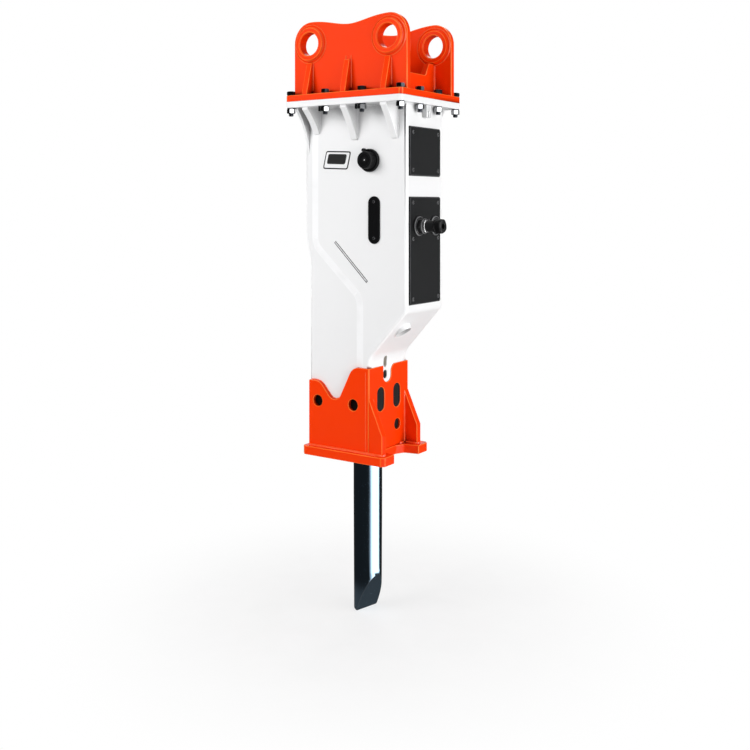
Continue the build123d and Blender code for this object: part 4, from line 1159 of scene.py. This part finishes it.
@dataclass
class HydraulicPorts:
    """Inlet adapter with its dust cap, and the plugged return port."""

    face: float = 335.0
    port_y: float = 73.0
    port_z: float = -597.0
    ring_r: float = 46.0
    ring_high: float = 11.0
    tip: float = 470.0
    cap_r: float = 33.0
    cap_long: float = 42.0
    cap_rib: float = 0.055

    def build(self) -> None:
        """Build both ports."""
        self._adapter()
        self._cap()
        self._plug()

    def _port(self, side: int, x: float, spin: float = 0.0) -> Matrix:
        """Placement on a port's axis, at a distance from the datum."""
        return facing(X_AXIS, DATUM.at(x, side * self.port_y, self.port_z), spin)

    def _flanged(self, spigot: float, flats: float, height: float) -> Workpiece:
        """Flange ring with a spigot behind it and a hexagon on it.

        Args:
            spigot: Radius of the spigot, in millimetres.
            flats: Width across the hexagon's flats, in millimetres.
            height: Height of the hexagon, in millimetres.

        Returns:
            The fitting, with its flange on Z = 0.
        """
        r, top = self.ring_r, self.ring_high
        flange = ((0.0, -30.0), (spigot, -30.0), (spigot, 0.0), (r, 0.0), (r, 7.0), (r - 1.2, 9.6),
                  (r - 4.0, top), (r - 9.0, top), (r - 10.0, 9.5), (r - 12.0, 9.5), (r - 13.0, top),
                  (0.0, top))
        head = Workpiece.hexagon(flats, height, both_ends=True)
        return Workpiece.turned(flange, steps=64).add(head, Matrix.Translation((0, 0, top * MM)))

    def _adapter(self) -> None:
        """Adapter: split flange ring, hexagon and neck, and the polished ring round it."""
        neck = ((0.0, 29.0), (34.0, 29.0), (36.0, 31.0), (36.0, 36.5), (33.5, 39.0), (29.5, 39.0),
                (27.0, 41.0), (27.0, 92.0), (25.5, 95.0), (0.0, 95.0))
        work = self._flanged(spigot=24.0, flats=64.0, height=19.0).add(Workpiece.turned(neck, steps=48))
        work.placed(self._port(-1, self.face, spin=8.0))
        work.finish("inlet_adapter_turned", BLACK_FITTING, ("port_adapter",), sharp=28.0)
        ring = ((26.0, 46.0), (30.5, 46.0), (31.4, 47.0), (31.4, 49.5), (30.5, 50.5), (26.0, 50.5),
                (26.0, 46.0))
        work = Workpiece.turned(ring, steps=48).placed(self._port(-1, self.face))
        work.finish("inlet_seal_ring", GROUND_STEEL, sharp=30.0)

    def _cap(self) -> None:
        """Dust cap: ribbed rubber body with a recessed end."""
        long, r, bore = self.cap_long, self.cap_r, 27.0
        outline = ((bore, 0.0), (r - 1.5, 0.0), (r, 1.5), (r, 8.0), (r - 1.6, 9.5), (r - 1.6, 12.0),
                   (r, 13.5), (r, long - 6.5), (r - 1.8, long - 2.2), (r - 6.0, long), (15.0, long),
                   (13.4, long - 1.4), (13.0, long - 14.0), (0.0, long - 15.0), (0.0, long - 19.0),
                   (bore, long - 19.0), (bore, 0.0))
        work = Workpiece.turned(outline, steps=56)
        for vert in work.bm.verts:
            if math.hypot(vert.co.x, vert.co.y) > 30.0 * MM and vert.co.z > 13.0 * MM:
                wave = -math.cos(4 * math.atan2(vert.co.y, vert.co.x))
                vert.co.xy *= 1.0 + self.cap_rib * wave ** 2 * math.copysign(1.0, wave)
        work.placed(self._port(-1, self.tip - long, spin=22.5))
        work.finish("port_cap_moulded", MOULDED_RUBBER, ("port_cap",), sharp=32.0)

    def _plug(self) -> None:
        """Blanking plug: flange ring and hexagon head."""
        work = self._flanged(spigot=22.0, flats=50.0, height=21.8)
        work.placed(self._port(1, self.face, spin=14.0))
        work.finish("return_plug_turned", BLACK_FITTING, ("port_plug",), sharp=28.0)


@dataclass
class WideFaceFittings:
    """Fittings of the near wide face, and the plugs and caps of the skirt and its front plate."""

    panel_out: float = 164.0
    wall_out: float = 152.0
    plug_x: float = 124.0
    plug_z: float = -290.0
    plate_middle: Pair = (-67.5, -284.0)
    plate_size: Pair = (147.0, 87.0)
    plate_lean: float = 0.245
    plate_rise: float = -0.045
    stripe_start: Pair = (-79.0, -676.0)
    stripe_end: Pair = (108.0, -861.0)
    stripe_wide: float = 3.6
    stripe_gap: float = 9.0
    hole_xs: Pair = (-177.0, 32.0)
    hole_z: float = -1447.0
    pin_hole: Pair = (74.0, -1567.0)
    slot_back: Point = (100.5, -29.0, -1311.0)
    slot_size: Point = (16.3, 41.6, 17.0)
    key_y: float = 70.0
    key_z: float = -1425.0
    key_size: Point = (30.8, 115.6, 16.0)
    key_back: float = 105.0

    def build(self) -> None:
        """Build the fittings, plugs and caps."""
        softened("side_cover", MOULDED_RUBBER, width=1.0, how="eased", angle=25.0)
        self._screws()
        self._plugs()
        self._data_plate()
        self._stripes()
        self._hole_shade_fillers()

    def _screws(self) -> None:
        """Screws of the slot cover."""
        low, high = DATUM.box("side_cover_screws")
        work = Workpiece()
        for z in (low.z + 7.0, high.z - 7.0):
            spot = DATUM.at((low.x + high.x) / 2, -self.panel_out - 5.0, z)
            work.add(button_screw(radius=7.0, height=4.0), facing(-Y_AXIS, spot, z))
        work.finish("side_cover_screws_socketed", BLACK_SCREW, ("side_cover_screws",), sharp=30.0)

    def _plugs(self) -> None:
        """Moulded charging plug with its pull nub and vent pin, and dark plugs in the key slots that paint
        the shade of the open slots.
        """
        x, y, z = self.plug_x, -self.panel_out, self.plug_z
        body = ((0.0, -30.0), (39.6, -30.0), (39.6, 0.0), (54.5, 0.0), (54.5, 8.0), (53.4, 11.0),
                (50.5, 13.2), (46.5, 14.0), (43.0, 14.0), (41.2, 15.5), (41.0, 18.0), (41.0, 27.0),
                (39.8, 28.2), (39.8, 30.4), (41.0, 31.6), (41.0, 43.5), (39.6, 47.2), (36.0, 49.0),
                (31.0, 49.0), (29.4, 47.6), (11.0, 47.0), (8.0, 48.4), (5.0, 49.0), (0.0, 49.0))
        nub = ((0.0, 0.0), (7.6, 0.0), (9.0, 2.0), (9.0, 15.5), (7.6, 18.8), (4.5, 20.0), (0.0, 20.0))
        pin = ((0.0, 0.0), (4.2, 0.0), (4.2, 1.2), (3.4, 2.2), (0.0, 2.6))
        work = Workpiece.turned(body, steps=64).placed(facing(-Y_AXIS, DATUM.at(x, y, z)))
        work.add(Workpiece.turned(nub, steps=28), facing(-Y_AXIS, DATUM.at(x - 10, y - 26, z + 47)))
        # Painted shade: dark obround plugs fill the key slots, where there is only shade.
        for side in SIDES:
            plug = self._obround(*self.key_size)
            work.add(plug, facing(X_AXIS, DATUM.at(self.key_back, side * self.key_y, self.key_z)))
        work.finish("rubber_plugs_moulded", MOULDED_RUBBER, ("rubber_plugs",), sharp=32.0)
        work = Workpiece.turned(pin, steps=24).placed(facing(-Y_AXIS, DATUM.at(x, y - 48.6, z)))
        work.finish("plug_vent_pin", GROUND_STEEL, sharp=30.0)

    @staticmethod
    def _obround(radius: float, height: float, thick: float) -> Workpiece:
        """Obround rubber plug with a raised rim round a shallow well.

        Args:
            radius: Radius of its round ends, in millimetres.
            height: Its height over both ends, in millimetres.
            thick: Its thickness, in millimetres.

        Returns:
            The plug, about its axis, with its back at Z = 0 and its height along X.
        """
        outline = ((0.0, 0.0), (radius, 0.0), (radius, thick - 3.0), (radius - 2.0, thick),
                   (radius - 6.0, thick), (radius - 8.0, thick - 3.0), (0.0, thick - 3.4))
        work = Workpiece.turned(outline, steps=32)
        stretch = (height / 2 - radius) * MM
        for vert in work.bm.verts:
            if abs(vert.co.x) > 1e-6:
                vert.co.x += math.copysign(stretch, vert.co.x)
        return work

    def _data_plate(self) -> None:
        """Blank leaning data plate: dark outline, white field and an empty dark name bar."""
        (x, z), (wide, high) = self.plate_middle, self.plate_size
        layers = (("outline", BLACK_STRIPE, wide, high, 11.0, 0.9, 0.0),
                  ("field", WHITE_ENAMEL, wide - 12, high - 12, 7.0, 1.2, 0.0),
                  ("bar", BLACK_STRIPE, 0.74 * wide, 0.56 * high, 9.0, 1.5, 0.06 * high))
        for name, finish, across, up, corner, thick, lift in layers:
            place = Matrix.Translation(DATUM.at(x, -self.panel_out, z + lift))
            self._leaning(across, up, corner, thick).placed(place).finish(f"data_plate_{name}", finish)

    def _leaning(self, wide: float, high: float, corner: float, thick: float) -> Workpiece:
        """Thin plate with round corners that leans like its face.

        Args:
            wide: Its width, in millimetres.
            high: Its height, in millimetres.
            corner: Radius of its corners, in millimetres.
            thick: How far it stands out of the wall, in millimetres.

        Returns:
            The plate, about its middle, with its back at Y = 0.
        """
        half = Vector((wide / 2, thick / 2, high / 2)) * MM
        work = Workpiece().slab(-half, half)
        upright = [edge for edge in work.bm.edges
                   if abs((edge.verts[0].co - edge.verts[1].co).normalized().y) > 0.9]
        bmesh.ops.bevel(work.bm, geom=upright, offset=corner * MM, segments=5, profile=0.5, affect="EDGES",
                        material=-1)
        for vert in work.bm.verts:
            vert.co.x += self.plate_lean * vert.co.z
            vert.co.z += self.plate_rise * vert.co.x
            vert.co.y -= half.y
        return work

    def _stripes(self) -> None:
        """Plain double stripe with closed ends that runs down across the wide face."""
        (x0, z0), (x1, z1) = self.stripe_start, self.stripe_end
        middle = DATUM.at((x0 + x1) / 2, -self.panel_out, (z0 + z1) / 2)
        turn = Matrix.Rotation(-math.atan2(z1 - z0, x1 - x0), 4, "Y")
        length, wide, offset = math.hypot(x1 - x0, z1 - z0), self.stripe_wide, self.stripe_gap / 2
        bars = [(0.0, side * offset, length, wide) for side in SIDES]
        bars += [(side * (length - wide) / 2, 0.0, wide, 2 * offset) for side in SIDES]
        work = Workpiece()
        for x, z, long, high in bars:
            half = Vector((long / 2, 0.3, high / 2)) * MM
            shift = Matrix.Translation(Vector((x, 0.0, z)) * MM)
            work.add(Workpiece().slab(-half, half), Matrix.Translation(middle) @ turn @ shift)
        work.finish("twin_stripes", BLACK_STRIPE)

    def _hole_shade_fillers(self) -> None:
        """Dark discs set back in the round holes of the skirt and the pin hole, and a dark filler in its
        small slot, as painted shade that makes them read black.
        """
        # Painted shade: dark rubber discs and a dark filler sit in the holes and the slot, where there is
        # only shade.
        work = Workpiece()
        for x, side in product(self.hole_xs, SIDES):
            back = DATUM.at(x, side * (self.wall_out - 10.0), self.hole_z)
            work.add(self._disc(radius=37.0, thick=9.0), facing(side * Y_AXIS, back))
        work.add(self._obround(*self.slot_size), facing(X_AXIS, DATUM.at(*self.slot_back)))
        back = DATUM.at(self.key_back - 1.0, *self.pin_hole)
        work.add(self._disc(radius=25.4, thick=8.0), facing(X_AXIS, back))
        work.finish("pin_hole_shade_fillers", MOULDED_RUBBER)

    @staticmethod
    def _disc(radius: float, thick: float) -> Workpiece:
        """Plain round cap on Z = 0."""
        return Workpiece.turned(((0.0, 0.0), (radius, 0.0), (radius, thick), (0.0, thick)))


@dataclass
class WorkingTool:
    """Chisel with its ground point."""

    def build(self) -> None:
        """Ease the chisel's edges."""
        softened("chisel", TOOL_STEEL, width=2.2, how="ground", angle=30.0, body=Body.TOOL)


@dataclass
class PowerCell:
    """Everything inside the box, which keeps its CAD shape and gets its finish."""

    def build(self) -> None:
        """Put the right finish on every node that still shows its own mesh."""
        for slot in frame["record"]["subparts"]:
            finish = FINISH_OF[Slot(slot["material_slot"])].build()
            for holder in frame["nodes"][slot["node"]].material_slots:
                holder.material = finish


# ---------------------------------------------------------------- studio
@dataclass
class Studio:
    """Camera, pale floor, lamps and the light of the room."""

    camera_at: Point = (2.50975, -4.02725, -0.77956)
    camera_turn: Point = (90.0, 0.0, 34.14)
    lens: float = 47.94
    sensor: float = 36.0
    rise: float = -0.2251

    FLOOR_RADIUS = 14.0
    FLOOR_GAP = 0.001
    FLOOR_FADE = (0.3, 1.6)
    FLOOR_NEAR = 0.72
    FOOT_DARK = (0.24, 0.46)
    CARD_RISE = (-0.92, -0.16)
    CARD_FALL = (0.60, 0.90)
    CARD_LIGHT = (0.03, 5.0)

    def build(self) -> None:
        """Build the whole studio."""
        self._camera()
        self._floor()
        self._world()
        self._lamp("side_softbox", (4.7, 0.0, -0.8), (7.5, 3.3), 268.0)
        self._lamp("front_softbox", (-3.0, -4.3, 1.0), (4.0, 3.0), 258.0, mirrored=False)
        self._lamp("rear_softbox", (-2.6, 4.6, 1.2), (4.0, 3.4), 120.0)
        self._lamp("top_softbox", (0.0, 0.0, 4.2), (3.5, 3.5), 60.0)

    def _camera(self) -> None:
        """Camera at the viewing angle."""
        lens = bpy.data.cameras.new("camera")
        lens.lens, lens.sensor_width, lens.shift_y = self.lens, self.sensor, self.rise
        camera = bpy.data.objects.new("camera", lens)
        camera.location = self.camera_at
        camera.rotation_euler = [math.radians(angle) for angle in self.camera_turn]
        bpy.context.scene.collection.objects.link(camera)
        bpy.context.scene.camera = camera

    def _lamp(self, name: str, spot: Point, size: Pair, power: float, mirrored: bool = True) -> None:
        """Soft rectangular lamp that faces the middle of the object.

        Args:
            name: Its name.
            spot: Where it stands.
            size: Its width and height, in metres.
            power: Its power, in watts.
            mirrored: Whether it shows in polished surfaces.
        """
        light = bpy.data.lights.new(name, "AREA")
        light.shape, light.size, light.size_y, light.energy = "RECTANGLE", *size, power
        lamp = bpy.data.objects.new(name, light)
        lamp.location = spot
        lamp.rotation_euler = (MIDDLE - lamp.location).to_track_quat("-Z", "Y").to_euler()
        lamp.visible_glossy = mirrored
        lamp.visible_camera = False
        bpy.context.scene.collection.objects.link(lamp)

    def _floor(self) -> None:
        """Wide pale floor that keeps the object's shadow near it and is white further out."""
        work = Workpiece()
        bmesh.ops.create_circle(work.bm, cap_ends=True, radius=self.FLOOR_RADIUS, segments=64)
        middle = Vector((*MIDDLE.xy, CAD_BOX[0][2] - self.FLOOR_GAP))
        bmesh.ops.translate(work.bm, verts=work.bm.verts, vec=middle)
        mesh = bpy.data.meshes.new("floor")
        work.bm.to_mesh(mesh)
        work.bm.free()
        mesh.materials.append(self._floor_material())
        floor = bpy.data.objects.new("floor", mesh)
        bpy.context.scene.collection.objects.link(floor)

    @staticmethod
    def _floor_material() -> bpy.types.Material:
        """Matt pale floor that reads as the white background to the camera, and glows in reflections as a
        painted card.

        Returns:
            The material.
        """
        material = bpy.data.materials.new("studio_floor")
        material.use_nodes = True
        graph = Graph(material.node_tree)
        shader = material.node_tree.nodes["Principled BSDF"]
        shader.inputs["Roughness"].default_value = 0.9
        speckle = graph.ramp(graph.noise(6.0, 4.0), 0.3, 0.7)
        pale = graph.mix(speckle, (0.62, 0.62, 0.62, 1.0), (0.66, 0.66, 0.66, 1.0))
        graph.feed(shader.inputs["Base Color"], pale)
        path = graph.node("LightPath").outputs
        where = graph.node("TexCoord").outputs["Object"]
        shifted = graph.vector("ADD", where, (-DATUM.x, 0.0, 0.0)).outputs[0]
        flat = graph.vector("MULTIPLY", shifted, (1.0, 1.0, 0.0)).outputs[0]
        far = graph.vector("LENGTH", flat).outputs["Value"]
        fade = graph.ramp(far, *Studio.FLOOR_FADE, Studio.FLOOR_NEAR, 1.0)
        # Painted reflection: to glossy rays the floor glows dark beside the tool's foot and bright as a card
        # on one side.
        beside = graph.ramp(far, *Studio.FOOT_DARK)
        card = graph.mix(beside, (0.13, 0.13, 0.13, 1.0), Studio._card(graph, shifted))
        strength = graph.mix(path["Is Camera Ray"], card, (1.0, 1.0, 1.0, 1.0))
        white = graph.node("Emission", {"Color": (1, 1, 1, 1), "Strength": strength})
        faded = graph.times(path["Is Camera Ray"], fade)
        seen = graph.math("ADD", faded, path["Is Glossy Ray"], clamp=True)
        both = graph.node("MixShader", {0: seen, 1: shader.outputs[0], 2: white.outputs[0]})
        graph.feed(material.node_tree.nodes["Material Output"].inputs["Surface"], both.outputs[0])
        return material

    @staticmethod
    def _card(graph: Graph, where: Socket) -> Socket:
        """Strength that polished steel sees: a bright card on one side of the tool, and a dark room.

        Args:
            graph: The graph to add to.
            where: A place or direction, from the tool's axis.

        Returns:
            The strength's socket.
        """
        apart = graph.node("SeparateXYZ", {"Vector": where}).outputs
        turn = graph.math("ARCTAN2", apart["Y"], apart["X"])
        rise, fall = graph.ramp(turn, *Studio.CARD_RISE), graph.ramp(turn, *Studio.CARD_FALL)
        return graph.ramp(graph.math("SUBTRACT", rise, fall), 0.0, 1.0, *Studio.CARD_LIGHT)

    @staticmethod
    def _world() -> None:
        """White room to the camera; its light is dim, and polished steel sees its bright side wall."""
        world = bpy.data.worlds.new("studio")
        world.cycles.sampling_method = "NONE"
        bpy.context.scene.world = world
        world.use_nodes = True
        graph = Graph(world.node_tree)
        out = next(node for node in world.node_tree.nodes if node.type == "OUTPUT_WORLD")
        fill = world.node_tree.nodes["Background"]
        fill.inputs["Color"].default_value = (0.97, 0.985, 1.0, 1.0)
        fill.inputs["Strength"].default_value = 0.22
        white = graph.node("Background", {"Color": (1, 1, 1, 1), "Strength": 1.0})
        card = Studio._card(graph, graph.node("TexCoord").outputs["Generated"])
        room = graph.node("Background", {"Color": (1, 1, 1, 1), "Strength": card})
        path = graph.node("LightPath").outputs
        seen = graph.math("ADD", path["Is Camera Ray"], path["Is Transmission Ray"], clamp=True)
        first = graph.node("MixShader", {0: path["Is Glossy Ray"], 1: fill.outputs[0], 2: room.outputs[0]})
        last = graph.node("MixShader", {0: seen, 1: first.outputs[0], 2: white.outputs[0]})
        graph.feed(out.inputs["Surface"], last.outputs[0])


def main() -> None:
    """Build every sub-assembly in order."""
    logging.basicConfig(level=logging.INFO, format="%(name)s %(message)s")
    bpy.context.scene.view_settings.view_transform = "Standard"
    for part in (PowerCell(), TopBracket(), FlangeJoint(), HousingBox(), LowerBracket(), ServiceCovers(),
                 HydraulicPorts(), WideFaceFittings(), WorkingTool(), Studio()):
        log.info("building %s", type(part).__name__)
        part.build()


if __name__ == "__main__":
    main()
